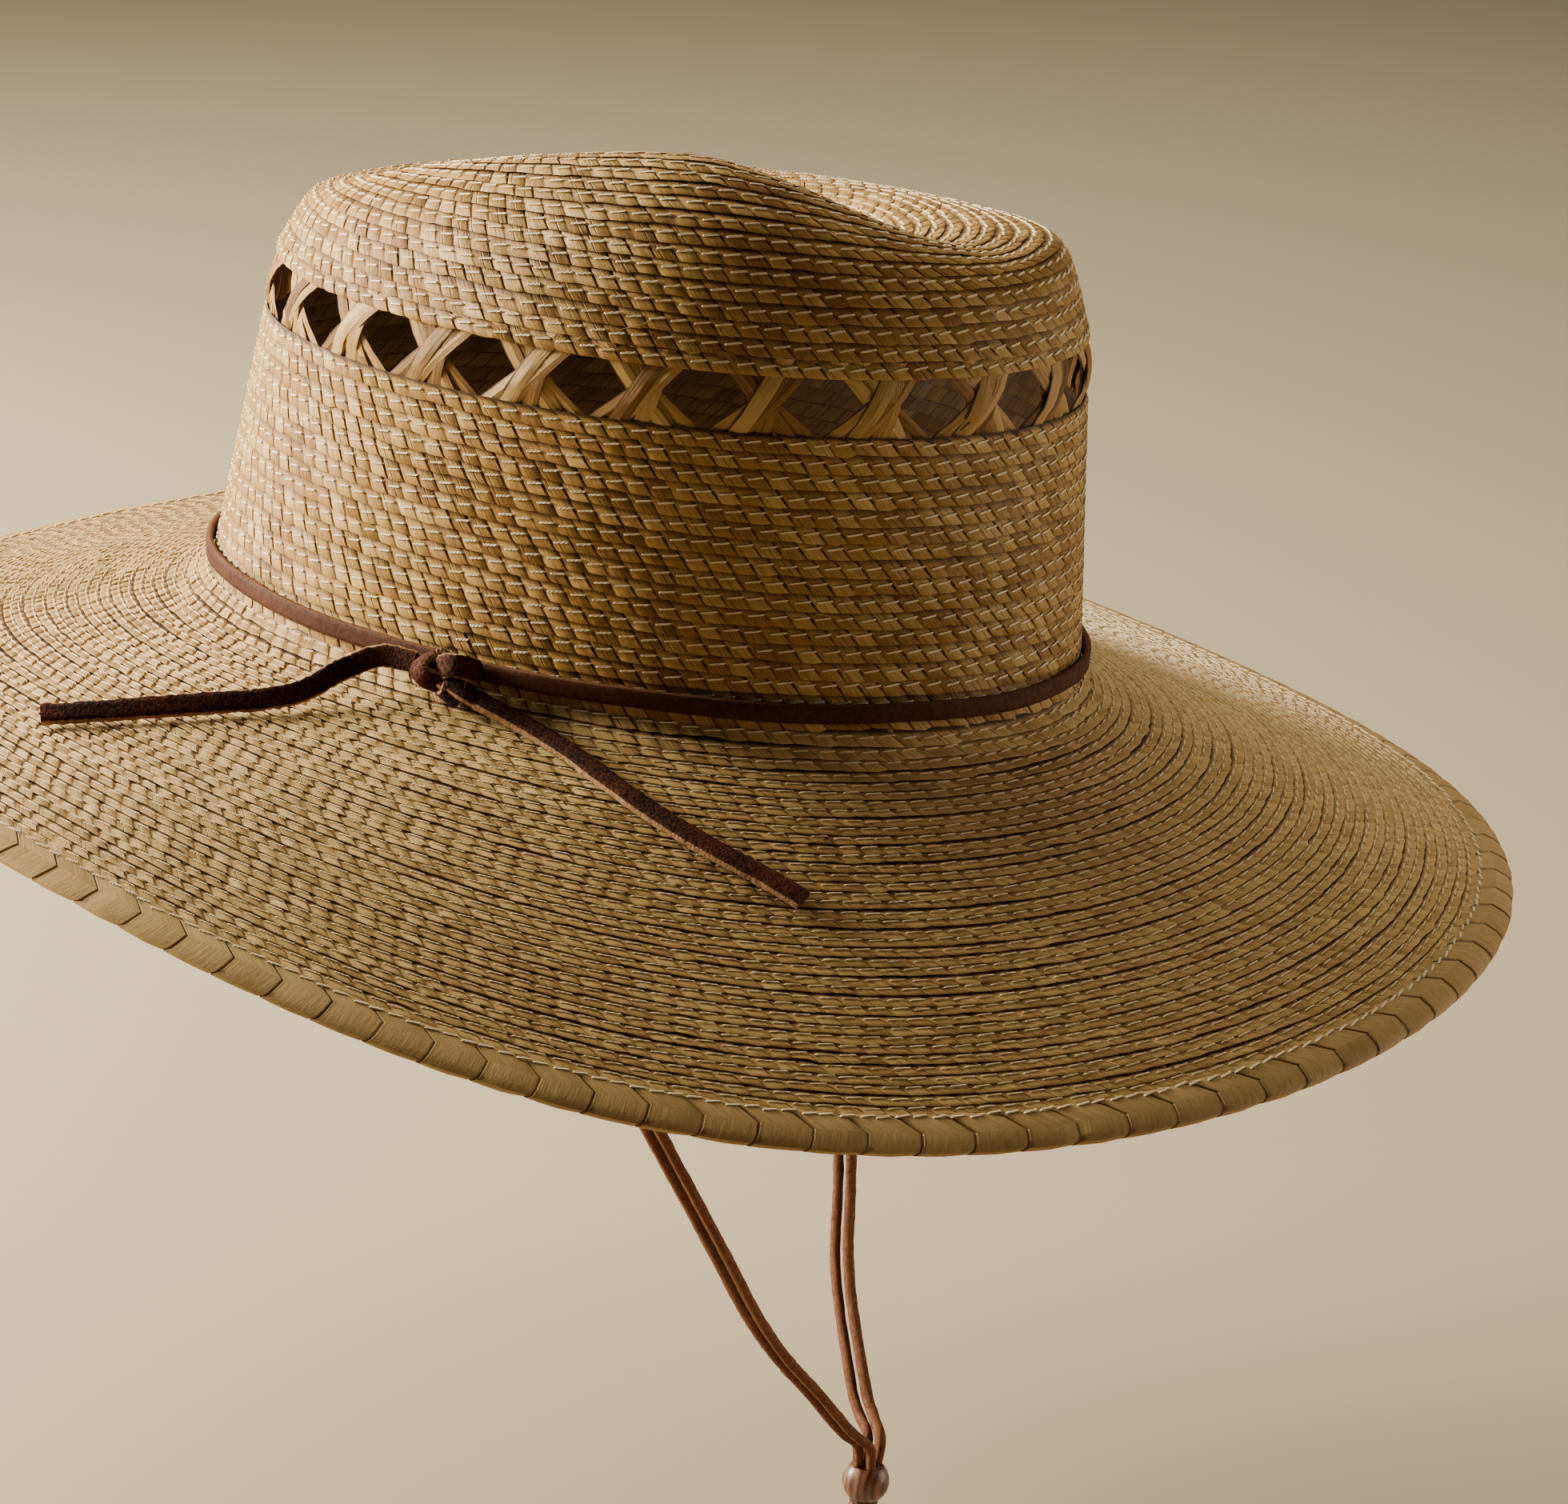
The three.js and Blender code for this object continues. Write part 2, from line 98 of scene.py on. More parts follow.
def route_length(route):
    return float(np.linalg.norm(np.diff(route, axis=0), axis=1).sum())


def smooth_route(points, count):
    """Evenly spaced points on a centripetal Catmull-Rom curve through the given points."""
    points = np.array(points, float)
    points = np.vstack([2 * points[0] - points[1], points, 2 * points[-1] - points[-2]])
    fine = []
    for a, b, c, d in zip(points, points[1:], points[2:], points[3:]):
        ab, bc, cd = (math.sqrt(np.linalg.norm(q - p)) for p, q in ((a, b), (b, c), (c, d)))
        start = ((b - a) / ab - (c - a) / (ab + bc) + (c - b) / bc) * bc
        end = ((c - b) / bc - (d - b) / (bc + cd) + (d - c) / cd) * bc
        for t in np.linspace(0, 1, 24, endpoint=False):
            fine.append(
                b + start * t + (3 * (c - b) - 2 * start - end) * t**2
                + (2 * (b - c) + start + end) * t**3
            )
    fine.append(points[-2])
    fine = np.array(fine)
    lengths = walk(fine)
    places = np.linspace(0, lengths[-1], count)
    return np.stack([np.interp(places, lengths, fine[:, k]) for k in range(3)], 1)


# %% [markdown]
# ## From arrays to a piece
# A few helpers turn lists of points and faces into a piece. They also look at the volume: a
# closed skin with its faces pointing in has a negative volume, and is then turned round.


# %% Make a mesh piece
def build(name, parts, material=None, smooth=40):
    """One mesh from closed parts of (points, faces, uv), with every face pointing out."""
    points, faces, uvs, first = [], [], [], 0
    for part_points, part_faces, part_uv in parts:
        corners = [[f[0], f[i], f[i + 1]] for f in part_faces for i in range(1, len(f) - 1)]
        a, b, c = (part_points[column] for column in np.array(corners).T)
        turn = -1 if np.einsum("ij,ij->i", a, np.cross(b, c)).sum() < 0 else 1
        points.append(part_points)
        uvs.append(part_uv)
        faces.extend([[first + i for i in face[::turn]] for face in part_faces])
        first += len(part_points)
    points = np.vstack(points)
    mesh = bpy.data.meshes.new(name)
    mesh.from_pydata(points.tolist(), [], faces)
    loops = np.zeros(len(mesh.loops), np.int32)
    mesh.loops.foreach_get("vertex_index", loops)
    layer = mesh.uv_layers.new(name="weave")
    layer.data.foreach_set("uv", np.vstack(uvs)[loops].astype(np.float32).ravel())
    piece = bpy.data.objects.new(name, mesh)
    bpy.context.scene.collection.objects.link(piece)
    pick(piece)
    bpy.ops.object.shade_smooth_by_angle(angle=math.radians(smooth))
    if material:
        mesh.materials.append(material)
    return piece


def pick(piece):
    """Selects one piece and nothing else, because operators act on all that is selected."""
    for other in bpy.context.selected_objects:
        other.select_set(False)
    piece.select_set(True)
    bpy.context.view_layer.objects.active = piece


def dress(piece, slot, *nodes):
    """Fixes a piece to the hat, and lets it stand for its plain solids."""
    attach(piece, "root")
    if nodes:
        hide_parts(*nodes)
    print(piece.name, "has", sum(len(p.vertices) - 2 for p in piece.data.polygons), "triangles")


# %% [markdown]
# ## Sweeping a lace
# A lace is a strip of leather with a worn, slightly uneven edge. A bevelled curve would give it
# a perfect section, so its section is swept by hand here, with a little wander in its width.

# %% Sweep a section along a route
MM = 0.001
LACE_SECTION = [
    (-1, -0.5), (-0.86, -0.92), (-0.45, -1), (0, -1), (0.45, -1), (0.86, -0.92), (1, -0.5),
    (1, 0.5), (0.86, 0.92), (0.45, 1), (0, 1), (-0.45, 1), (-0.86, 0.92), (-1, 0.5),
]
ROUND_SECTION = [
    (math.cos(a), math.sin(a)) for a in np.linspace(0, 2 * math.pi, 14, endpoint=False)
]


def blend_ways(ways, count):
    """Directions along a route, mixed evenly from a short list."""
    places = np.linspace(0, len(ways) - 1, count)
    return np.stack([np.interp(places, range(len(ways)), axis) for axis in zip(*ways)], 1)


def unit(v):
    return v / np.maximum(np.linalg.norm(v, axis=-1, keepdims=True), 1e-12)


def tube_faces(n, m, closed=False):
    """Faces of n rings of m points, joined into a loop or closed by a face at each end."""
    faces = [
        [i * m + j, (i + 1) % n * m + j, (i + 1) % n * m + (j + 1) % m, i * m + (j + 1) % m]
        for i in range(n if closed else n - 1) for j in range(m)
    ]
    if not closed:
        faces += [list(range(m)), list(range(n * m - 1, n * m - m - 1, -1))]
    return faces


def sweep(
    route, ups, half_width, half_thickness, seed,
    section=LACE_SECTION, closed=False, rough=0.03,
):
    """The skin of a strip that follows a route, with its flat side across the ups."""
    section = np.array(section)
    n, m = len(route), len(section)
    along = np.roll(route, -1, 0) - np.roll(route, 1, 0) if closed else np.gradient(route, axis=0)
    along = unit(along)
    across = unit(np.cross(along, ups))
    up = np.cross(across, along)
    rng = np.random.default_rng(seed)
    sway = np.ones((n, 2))
    if not closed:
        sway = 1 + rough * np.cumsum(rng.normal(size=(n, 2)), 0) / math.sqrt(n)
    ragged = 1 + rng.normal(size=(n, m)) * rough
    x = section[:, 0] * ragged * (np.broadcast_to(half_width, n) * sway[:, 0])[:, None]
    z = section[:, 1] * ragged * (np.broadcast_to(half_thickness, n) * sway[:, 1])[:, None]
    points = route[:, None] + x[..., None] * across[:, None] + z[..., None] * up[:, None]
    uv = np.stack(np.broadcast_arrays(walk(route)[:, None] * 100, section[None, :, 0]), -1)
    return points.reshape(-1, 3), tube_faces(n, m, closed), uv.reshape(-1, 2)


# %% [markdown]
# ## The cords
# Two laces hang loose on the brim from the knot of the hat band, and two doubled laces hang as
# a chin cord into one wooden bead. They come before all other pieces, because their places
# decide how far the hat reaches. Each is swept along the route of the construction model.

# %% Routes of the laces, in millimetres
TAIL_BACK = [
    (-86.4, 8.3, 7.6), (-87.2, 16.0, 7.7), (-91.8, 22.8, 4.4), (-98.7, 28.1, 0.0),
    (-104.9, 34.1, -1.8), (-112.9, 44.9, -3.3), (-123.4, 58.0, -5.0), (-133.4, 71.3, -6.6),
]
TAIL_FRONT = [
    (-87.8, -8.6, 3.0), (-87.0, -19.7, -0.3), (-89.0, -31.2, -2.9), (-92.2, -42.9, -6.0),
    (-94.7, -57.1, -10.2), (-95.3, -70.3, -14.0), (-94.7, -82.6, -17.5), (-94.5, -91.3, -20.3),
]
CHIN_RIGHT = [
    (-76.0, 4.0, 3.4), (-76.0, 3.9, -5.0), (-75.0, -13.0, -36.0), (-71.2, -34.0, -70.0),
    (-65.0, -48.0, -94.5), (-59.0, -53.6, -108.4), (-51.0, -59.2, -124.6),
    (-39.6, -63.6, -143.2), (-28.6, -66.6, -156.8), (-18.4, -71.6, -169.0), (-9.4, -76.4, -180.6),
]
CHIN_LEFT = [
    (76.0, 4.0, 3.4), (76.0, 3.9, -5.0), (73.6, -9.0, -42.0), (66.6, -25.0, -82.0),
    (55.4, -37.6, -116.0), (42.4, -46.8, -141.0), (30.6, -53.4, -157.4), (23.4, -59.0, -166.4),
    (16.4, -65.2, -174.6), (9.6, -71.6, -182.4),
]
BEAD = np.array([0, -78.6, -196.4]) * MM
BEAD_RADIUS, BEAD_FLAT = 5.6 * MM, 4.16 * MM
STRAND_APART, CORD_WIDTH = 3.3 * MM, 2.8 * MM
LACE_WIDTH, LACE_THICKNESS = 4.2 * MM, 2 * MM


def strand_route(points, shift, side):
    """A side's route moved half a space sideways, then down to its place in the bead."""
    points = np.array(points) * MM
    along = unit(np.gradient(points, axis=0))
    sideways = np.array([0, 1, 0]) - along * along[:, 1:2]
    points = points + unit(sideways) * shift * STRAND_APART / 2
    end = BEAD + [side * STRAND_APART / 2, shift * STRAND_APART / 2, BEAD_FLAT + 0.3 * MM]
    above = end + [side * 1.1 * MM, 0, 5 * MM]
    return smooth_route(np.vstack([points, above, end]), 40)


# %% Sweep the four chin strands and the two tails
chin_strands = {}
for side_name, points, side in (("right", CHIN_RIGHT, -1), ("left", CHIN_LEFT, 1)):
    for strand_name, shift in (("front", -1), ("back", 1)):
        route = strand_route(points, shift, side)
        fine = smooth_route(route, 150)
        ups = blend_ways([(0, 1, 0.2), (0.5, 0.8, 0.3), (-0.3, 0.9, 0.4), (0, 1, 0.3)], 150)
        name = f"chin_cord_{side_name}_{strand_name}"
        part = sweep(
            fine, ups, CORD_WIDTH * 0.46, CORD_WIDTH * 0.46, side + shift + 9, ROUND_SECTION,
            rough=0.035,
        )
        strand = build(name + "_lace", [part], smooth=60)
        chin_strands[name] = strand, route
        print(name, round(route_length(route) * 1000), "mm long")

tails = {}
for name, points, ups in (
    ("band_tail_back", TAIL_BACK, [(-1, -1, 0.2), (-1, -0.6, 0.9), (-0.5, -0.5, 1)]),
    ("band_tail_front", TAIL_FRONT, [(-0.3, 0, 1), (-0.35, -0.2, 1), (-0.4, -0.3, 1)]),
):
    route = smooth_route(np.array(points) * MM, 24)
    fine = smooth_route(route, 90)
    ups = blend_ways(ups, 90)
    part = sweep(fine, ups, LACE_WIDTH * 0.57, LACE_THICKNESS * 0.48, len(name), rough=0.05)
    tail = build(name + "_lace", [part], smooth=60)
    tails[name] = tail
    print(name, round(route_length(route) * 1000), "mm long")

# %% [markdown]
# ## The shape that the straw follows
# The straw lies on three surfaces: the crown's side with the brim, the crown's top, and the
# plaited edge. The straw could be shrink-wrapped onto the solids, but their flat facets would
# show. The same sums that shaped the solids give a smooth surface, kept here as a table of
# points: an angle round the hat by a distance down it.

# %% Sums for the crown and brim, in metres
HALF_LENGTH, HALF_WIDTH = 0.1055, 0.0801
TAPER, LEAN = 0.1415, 0.0455
VENT_FOOT, VENT_HEIGHT, GAP = 0.065, 0.0148, 0.0003
CROWN_RISE, BRIM_WIDTH = 0.0375, 0.108
BRIM_TURN, BRIM_TURN_RISE = 0.010, 0.0032
FULL = 2 * math.pi


def outward(angle):
    """The way straight out from the foot oval."""
    return unit(np.stack([HALF_LENGTH * np.cos(angle), HALF_WIDTH * np.sin(angle), 0 * angle], -1))


def crown_point(angle, height, offset=0.0):
    """A point of the crown's side."""
    height = height + 0 * angle
    y = (HALF_LENGTH - TAPER * height) * np.sin(angle) - LEAN * height
    point = np.stack([HALF_WIDTH * np.cos(angle), y, height], -1)
    return point + outward(angle) * (offset + 0 * angle)[..., None]


def brim_slope(angle):
    """How far the brim dips below level, as waves round the oval."""
    return np.radians(
        15.97 - 2.9 * np.cos(angle) - 6.53 * np.sin(angle) - 2.53 * np.cos(2 * angle)
        + 3.24 * np.sin(2 * angle) + 1.15 * np.cos(3 * angle) - 3.66 * np.sin(3 * angle)
    )


def brim_point(angle, distance, offset=0.0):
    """A point of the brim's upper face, at a distance down its slope."""
    slope = brim_slope(angle)
    rest = np.maximum(0, 1 - distance / BRIM_TURN)
    point = crown_point(angle, 0.0, distance * np.cos(slope) + offset * np.sin(slope))
    point[..., 2] = BRIM_TURN_RISE * rest**2 - distance * np.sin(slope) + offset * np.cos(slope)
    return point


# %% The blocked top of the crown
TOP_RINGS = [0, 0.075, 0.2, 0.4, 0.7, 1]
TOP_ANGLES = [0, 45, 90, 112, 135, 180, 205, 225, 248, 270, 291, 325]
TOP_SHARES = {
    "shoulder": [0.29, 0.27, 0.27, 0.31, 0.35, 0.41, 0.42, 0.42, 0.41, 0.42, 0.46, 0.38],
    "flank": [0.42, 0.38, 0.35, 0.42, 0.54, 0.74, 0.80, 0.74, 0.61, 0.52, 0.53, 0.49],
    "ridge": [0.485, 0.43, 0.40, 0.48, 0.65, 0.93, 1.0, 0.89, 0.67, 0.50, 0.50, 0.52],
    "hollow": [0.33, 0.33, 0.36, 0.39, 0.43, 0.52, 0.54, 0.50, 0.44, 0.39, 0.36, 0.34],
}
TIP_HEIGHT = 0.35


def smooth_values(places, values, at):
    """A smooth curve through values (their last axis) at rising places."""
    places, values = np.array(places, float), np.array(values, float)
    order, last = np.arange(len(places)), len(places) - 1
    low, high = np.maximum(order - 1, 0), np.minimum(order + 1, last)
    slopes = (values[..., high] - values[..., low]) / (places[high] - places[low])
    i = np.clip(np.searchsorted(places, at, side="right") - 1, 0, last - 1)
    step = places[i + 1] - places[i]
    t = (at - places[i]) / step
    a, b = slopes[..., i] * step, slopes[..., i + 1] * step
    rise = values[..., i + 1] - values[..., i]
    return values[..., i] + t * (a + t * (3 * rise - 2 * a - b + t * (a + b - 2 * rise)))


def top_points(angles, insets):
    """Points of the crown's top: inset 0 is the vent row's upper edge and 1 the tip."""
    before, after = [a - 360 for a in TOP_ANGLES[-2:]], [a + 360 for a in TOP_ANGLES[:2]]
    around = np.radians(before + TOP_ANGLES + after)
    rows = [smooth_values(around, v[-2:] + v + v[:2], angles) for v in TOP_SHARES.values()]
    shares = np.stack([0 * angles, *rows, 0 * angles + TIP_HEIGHT], -1)
    foot = VENT_FOOT + VENT_HEIGHT + GAP
    rim = crown_point(angles, foot)
    centre = np.array([0, -LEAN * foot, 0])
    points = centre + (rim - centre)[:, None] * (1 - insets)[None, :, None]
    points[..., 2] = foot + CROWN_RISE * smooth_values(TOP_RINGS, shares, insets)
    return points


# %% A surface kept as a table of points
ROUND = np.linspace(0, FULL, 720, endpoint=False)


class Sheet:
    """Points by angle round the hat and by run, the distance down it."""

    def __init__(self, points, first, step):
        self.points, self.first, self.step = points, first, step
        along = np.roll(points, -1, 0) - np.roll(points, 1, 0)
        self.normals = unit(np.cross(np.gradient(points, axis=1), along))

    def at(self, angle, run, offset):
        n, m = self.points.shape[:2]
        a = (angle / FULL * n) % n
        b = np.clip((run - self.first) / self.step, 0, m - 1.001)
        i, j = np.floor(a).astype(int) % n, np.floor(b).astype(int)
        s, t = (a - np.floor(a))[..., None], (b - j)[..., None]
        k = (i + 1) % n
        mix = lambda table: (
            (table[i, j] * (1 - s) + table[k, j] * s) * (1 - t)
            + (table[i, j + 1] * (1 - s) + table[k, j + 1] * s) * t
        )
        return mix(self.points) + unit(mix(self.normals)) * np.asarray(offset)[..., None]

    def ring(self, run):
        """Angles and the lengths walked to them, once round the hat."""
        ring = self.at(ROUND, np.full(len(ROUND), run), np.zeros(len(ROUND)))
        return np.append(ROUND, FULL), walk(np.vstack([ring, ring[:1]]))


STEP = 0.25 * MM
SIDE_TOP = VENT_FOOT + 1.2 * MM
SIDE_RUN = SIDE_TOP - BRIM_TURN_RISE
TOP_FOOT = VENT_FOOT + VENT_HEIGHT - 0.9 * MM
down = np.arange(-0.020, SIDE_RUN + BRIM_WIDTH, STEP)
side_table = np.stack([
    crown_point(ROUND, SIDE_TOP - d) if d < SIDE_RUN else brim_point(ROUND, d - SIDE_RUN)
    for d in down
], 1)
side_sheet = Sheet(side_table, down[0], STEP)

dome = top_points(ROUND, np.linspace(0, 1, 240))
dome = np.concatenate([crown_point(ROUND, TOP_FOOT)[:, None], dome], 1)[:, ::-1]
walked = np.stack([walk(line) for line in dome])
TOP_RUN = float(walked[:, -1].mean())
shares = np.linspace(0, 1, int(TOP_RUN / STEP) + 1)
top_table = np.stack([
    np.stack([np.interp(shares * lengths[-1], lengths, line[:, k]) for k in range(3)], 1)
    for lengths, line in zip(walked, dome)
])
top_sheet = Sheet(top_table, 0.0, TOP_RUN / (len(shares) - 1))
top_sheet.normals[:, 0] = unit(top_sheet.normals[:, 2].mean(0))
side_length = round((SIDE_RUN + BRIM_WIDTH) * 1000)
print("Side and brim run", side_length, "mm, top", round(TOP_RUN * 1000), "mm")

# %% [markdown]
# ## Shader helpers
# Materials are small node trees. One helper puts in a node and joins or sets its inputs. The
# sums between nodes could each be put in by hand too, but they read best as plain sums, so a
# node's number is wrapped in a Value, and each sum written with it puts in a Math node.


# %% Put in nodes
def put(tree, kind, settings=None, **inputs):
    """Adds a shader node; an input is a number, a colour, a Value or another node's output."""
    node = tree.nodes.new("ShaderNode" + kind)
    for key, value in (settings or {}).items():
        setattr(node, key, value)
    for key, value in inputs.items():
        numbered = key[0] == "i" and key[1:].isdigit()
        socket = node.inputs[int(key[1:]) if numbered else key.replace("_", " ")]
        value = getattr(value, "socket", value)
        if isinstance(value, bpy.types.NodeSocket):
            tree.links.new(value, socket)
        else:
            socket.default_value = value
    return node


class Value:
    """A number in a node tree, for use in sums."""

    def __init__(self, tree, socket):
        self.tree, self.socket = tree, socket

    def math(self, operation, *values):
        inputs = {f"i{k}": value for k, value in enumerate(values or [self])}
        node = put(self.tree, "Math", {"operation": operation}, **inputs)
        return Value(self.tree, node.outputs[0])

    def __add__(self, other):
        return self.math("ADD", self, other)

    def __sub__(self, other):
        return self.math("SUBTRACT", self, other)

    def __rsub__(self, other):
        return self.math("SUBTRACT", other, self)

    def __mul__(self, other):
        return self.math("MULTIPLY", self, other)

    def __pow__(self, other):
        return self.math("POWER", self, other)

    def __lt__(self, other):
        return self.math("LESS_THAN", self, other)

    def __abs__(self):
        return self.math("ABSOLUTE")


def fade(value, low, high, start=0.0, end=1.0):
    """A soft step: start below low, end above high."""
    node = put(
        value.tree, "MapRange", {"interpolation_type": "SMOOTHSTEP"}, Value=value,
        From_Min=low, From_Max=high, To_Min=start, To_Max=end,
    )
    return Value(value.tree, node.outputs[0])


def noise(tree, vector, scale, detail, roughness=0.5):
    """A cloudy noise."""
    node = put(tree, "TexNoise", Vector=vector, Scale=scale, Detail=detail, Roughness=roughness)
    return Value(tree, node.outputs[0])


def colour_ramp(tree, value, stops):
    """Colours along a value; of the (place, colour) stops the two outer ones come first."""
    ramp = put(tree, "ValToRGB", Fac=value)
    elements = ramp.color_ramp.elements
    for i, (place, colour) in enumerate(stops):
        stop = elements[i] if i < 2 else elements.new(place)
        stop.position, stop.color = place, (*colour, 1)
    return ramp.outputs[0]


def group(name, inputs, outputs):
    """A new shader node group with named float or vector sockets."""
    tree = bpy.data.node_groups.new(name, "ShaderNodeTree")
    for key, kind, value in inputs:
        socket = tree.interface.new_socket(key, in_out="INPUT", socket_type="NodeSocket" + kind)
        if value is not None:
            socket.default_value = value
    for key in outputs:
        tree.interface.new_socket(key, in_out="OUTPUT", socket_type="NodeSocketFloat")
    return tree, tree.nodes.new("NodeGroupInput").outputs, tree.nodes.new("NodeGroupOutput").inputs


def new_material(name):
    """A new material with its tree, its shader and the place in the object's own space."""
    material = bpy.data.materials.new(name)
    material.use_nodes = True
    tree = material.node_tree
    here = put(tree, "TexCoord").outputs["Object"]
    return material, tree, tree.nodes["Principled BSDF"], here


def coat(tree, shader, colour, roughness, height, strength, distance=0.2 * MM):
    """Joins a finish's colour, roughness and bump to the shader."""
    tree.links.new(colour, shader.inputs["Base Color"])
    tree.links.new(roughness.socket, shader.inputs["Roughness"])
    bump = put(tree, "Bump", Strength=strength, Distance=distance, Height=height)
    tree.links.new(bump.outputs[0], shader.inputs["Normal"])


# %% [markdown]
# ## Palm leaf
# Palm leaf is a flat, satin strip with long fibres. In a braid each visible cell is one strip
# passing over another, so no two cells have quite the same tone. Painted shade sits where a strip
# dives under its neighbour, at the sides of some cells, in their folds and in a gap at some
# corners. The pattern reads the weave map: whole numbers count cells and rows, and the fractions
# are the place within a cell. A picture could do this, but a node group stays sharp at any
# distance and can be used again for other strips.

# %% The palm leaf group
palm, given, out = group(
    "palm_leaf",
    [
        ("Weave", "Vector", None), ("Fibres", "Float", 8.0), ("Variety", "Float", 0.5),
        ("Folds", "Float", 0.35), ("Sides", "Float", 0.5), ("Tuck", "Float", 0.7),
        ("Facets", "Float", 0.0),
    ],
    ["Tint", "Shade", "Height"],
)
fibres, variety, folds, sides, tuck, facets = (
    Value(palm, given[key]) for key in ("Fibres", "Variety", "Folds", "Sides", "Tuck", "Facets")
)
split = put(palm, "SeparateXYZ", i0=given["Weave"]).outputs
along_row, down_rows = Value(palm, split[0]), Value(palm, split[1])
row, across, down_cell = down_rows.math("FLOOR"), along_row.math("FRACT"), down_rows.math("FRACT")
place = put(palm, "CombineXYZ", i0=along_row.math("FLOOR"), i1=row, i2=0.0).outputs[0]
chance = put(palm, "TexWhiteNoise", {"noise_dimensions": "2D"}, Vector=place).outputs["Color"]
chances = [Value(palm, socket) for socket in put(palm, "SeparateColor", i0=chance).outputs]

# fibres, and one tone for each cell
streak_place = put(
    palm, "CombineXYZ", i0=across * fibres + chances[0] * 37.0,
    i1=down_cell * 1.1 + chances[1] * 19.0, i2=row,
).outputs[0]
streak = noise(palm, streak_place, 1.0, 3.0, 0.65)
fine = noise(palm, streak_place, 3.4, 2.0, 0.6)
tint = (chances[0] - 0.5) * variety + streak * 0.75 + 0.12 + (fine - 0.5) * 0.35

# painted shade: in a fold in some cells, at the cells' sides, under the row above, and in a gap at
# some corners
from_fold = abs(across - (chances[2] * 0.4 + 0.3))
fold = fade(from_fold, 0.0, 0.05, 1.0, 0.0) * (chances[1] < folds)
# painted shade at the sides of a cell, where it meets its neighbour; Sides sets its strength
side_shade = fade(across, 0.07, 0.15, 1.0, 0.0) + fade(across, 0.96, 1.0, 0.0, 0.7)
side_shade = side_shade * fade(chances[0], 0.15, 0.7, 0.25, 1.0)
# painted shade under the row above, where this strip dives under it
under_row_shade = fade(down_cell, 0.30, 0.48, 1.0, 0.0)
# painted shade in a small gap at a cell's corner
from_pore = abs(across - 0.1) * 10.0 + abs(down_cell - 0.64) * 5.0
pore_shade = fade(from_pore, 0.5, 1.15, 1.0, 0.0) * (chances[2] < 0.6)
shade = (1.0 - side_shade * sides) * (1.0 - under_row_shade * tuck)
# the fold's crease and the corner gap darken the colour with painted shade; the fold is also a bump
shade = shade * (1.0 - fold * 0.45) * (1.0 - pore_shade * sides)

# each cell is a facet that tips its own way
facet = (chances[1] - 0.5) * across + (chances[2] - 0.5) * down_cell
height = facet * facets + streak * 0.7 + fine * 0.5 - fold * 0.8
for key, value in (("Tint", tint), ("Shade", shade), ("Height", height)):
    palm.links.new(value.socket, out[key])


def palm_material(name, tones, variety, folds, sides, tuck, bump, fibres=8.0, facets=0.0):
    """A finish of palm leaf, in tones from its darkest to its palest colour."""
    material, tree, shader, here = new_material(name)
    weave = put(tree, "UVMap", {"uv_map": "weave"}).outputs[0]
    leaf = put(
        tree, "Group", {"node_tree": palm}, Weave=weave, Fibres=fibres, Variety=variety,
        Folds=folds, Sides=sides, Tuck=tuck, Facets=facets,
    ).outputs
    tint, shade = Value(tree, leaf["Tint"]), Value(tree, leaf["Shade"])
    tone = tint + (noise(tree, here, 22.0, 2.0) - 0.5) * 0.3
    # the group's painted shade, warmer where it is deeper, multiplies the palm's colour
    dark = put(tree, "CombineColor", i0=shade, i1=shade**1.15, i2=shade**1.4).outputs[0]
    colour = put(
        tree, "Mix", {"data_type": "RGBA", "blend_type": "MULTIPLY"},
        i0=1.0, i6=colour_ramp(tree, tone, tones), i7=dark,
    ).outputs[2]
    coat(tree, shader, colour, fade(tint, 0.2, 0.8, 0.66, 0.48), leaf["Height"], bump, 0.4 * MM)
    shader.inputs["Specular IOR Level"].default_value = 0.25
    return material


crown_straw = palm_material("sewn_palm_crown", [
    (0.12, (0.17, 0.071, 0.012)), (0.88, (0.66, 0.445, 0.160)),
    (0.36, (0.33, 0.172, 0.039)), (0.62, (0.46, 0.27, 0.075)),
], variety=0.4, folds=0.3, sides=0.6, tuck=0.82, bump=0.6, facets=8.0)
brim_straw = palm_material("sewn_palm_brim", [
    (0.12, (0.23, 0.119, 0.033)), (0.88, (0.72, 0.51, 0.22)),
    (0.36, (0.42, 0.255, 0.088)), (0.62, (0.56, 0.366, 0.143)),
], variety=0.26, folds=0.15, sides=0.4, tuck=0.9, bump=0.5, facets=5.0)
ribbon_straw = palm_material("folded_palm_ribbon", [
    (0.15, (0.14, 0.060, 0.012)), (0.9, (0.57, 0.365, 0.13)), (0.5, (0.34, 0.18, 0.045)),
], variety=0.75, folds=0.0, sides=0.8, tuck=0.0, bump=0.6, fibres=11.0)
edge_straw = palm_material("plaited_palm_edge", [
    (0.15, (0.27, 0.157, 0.054)), (0.9, (0.54, 0.365, 0.16)), (0.5, (0.40, 0.252, 0.098)),
], variety=0.2, folds=0.0, sides=0.35, tuck=0.0, bump=0.3, fibres=12.0)

# %% [markdown]
# ## Sewing thread
# The rows are held by a pale twisted thread. A plain pale colour would look like paint, so the
# thread gets a slanted twist in its bump and a little unevenness in its tone.

# %% The thread
thread, tree, shader, here = new_material("pale_sewing_thread")
uneven = noise(tree, here, 320.0, 2.0)
twist = put(
    tree, "TexWave", {"bands_direction": "DIAGONAL"}, Vector=here, Scale=900.0, Distortion=2.0,
).outputs[1]
pale = colour_ramp(tree, uneven, [(0.3, (0.70, 0.53, 0.31)), (0.7, (0.90, 0.78, 0.55))])
coat(tree, shader, pale, fade(uneven, 0.3, 0.7, 0.75, 0.6), twist, 0.4)

# %% [markdown]
# ## Leather lace
# The laces are soft leather with the rough side showing in places: short fibres that catch the
# light as fleck, over a dark red brown. The nap is one group, used with other tones for the
# smoother band, and for the worn chin cord and its stop knot.

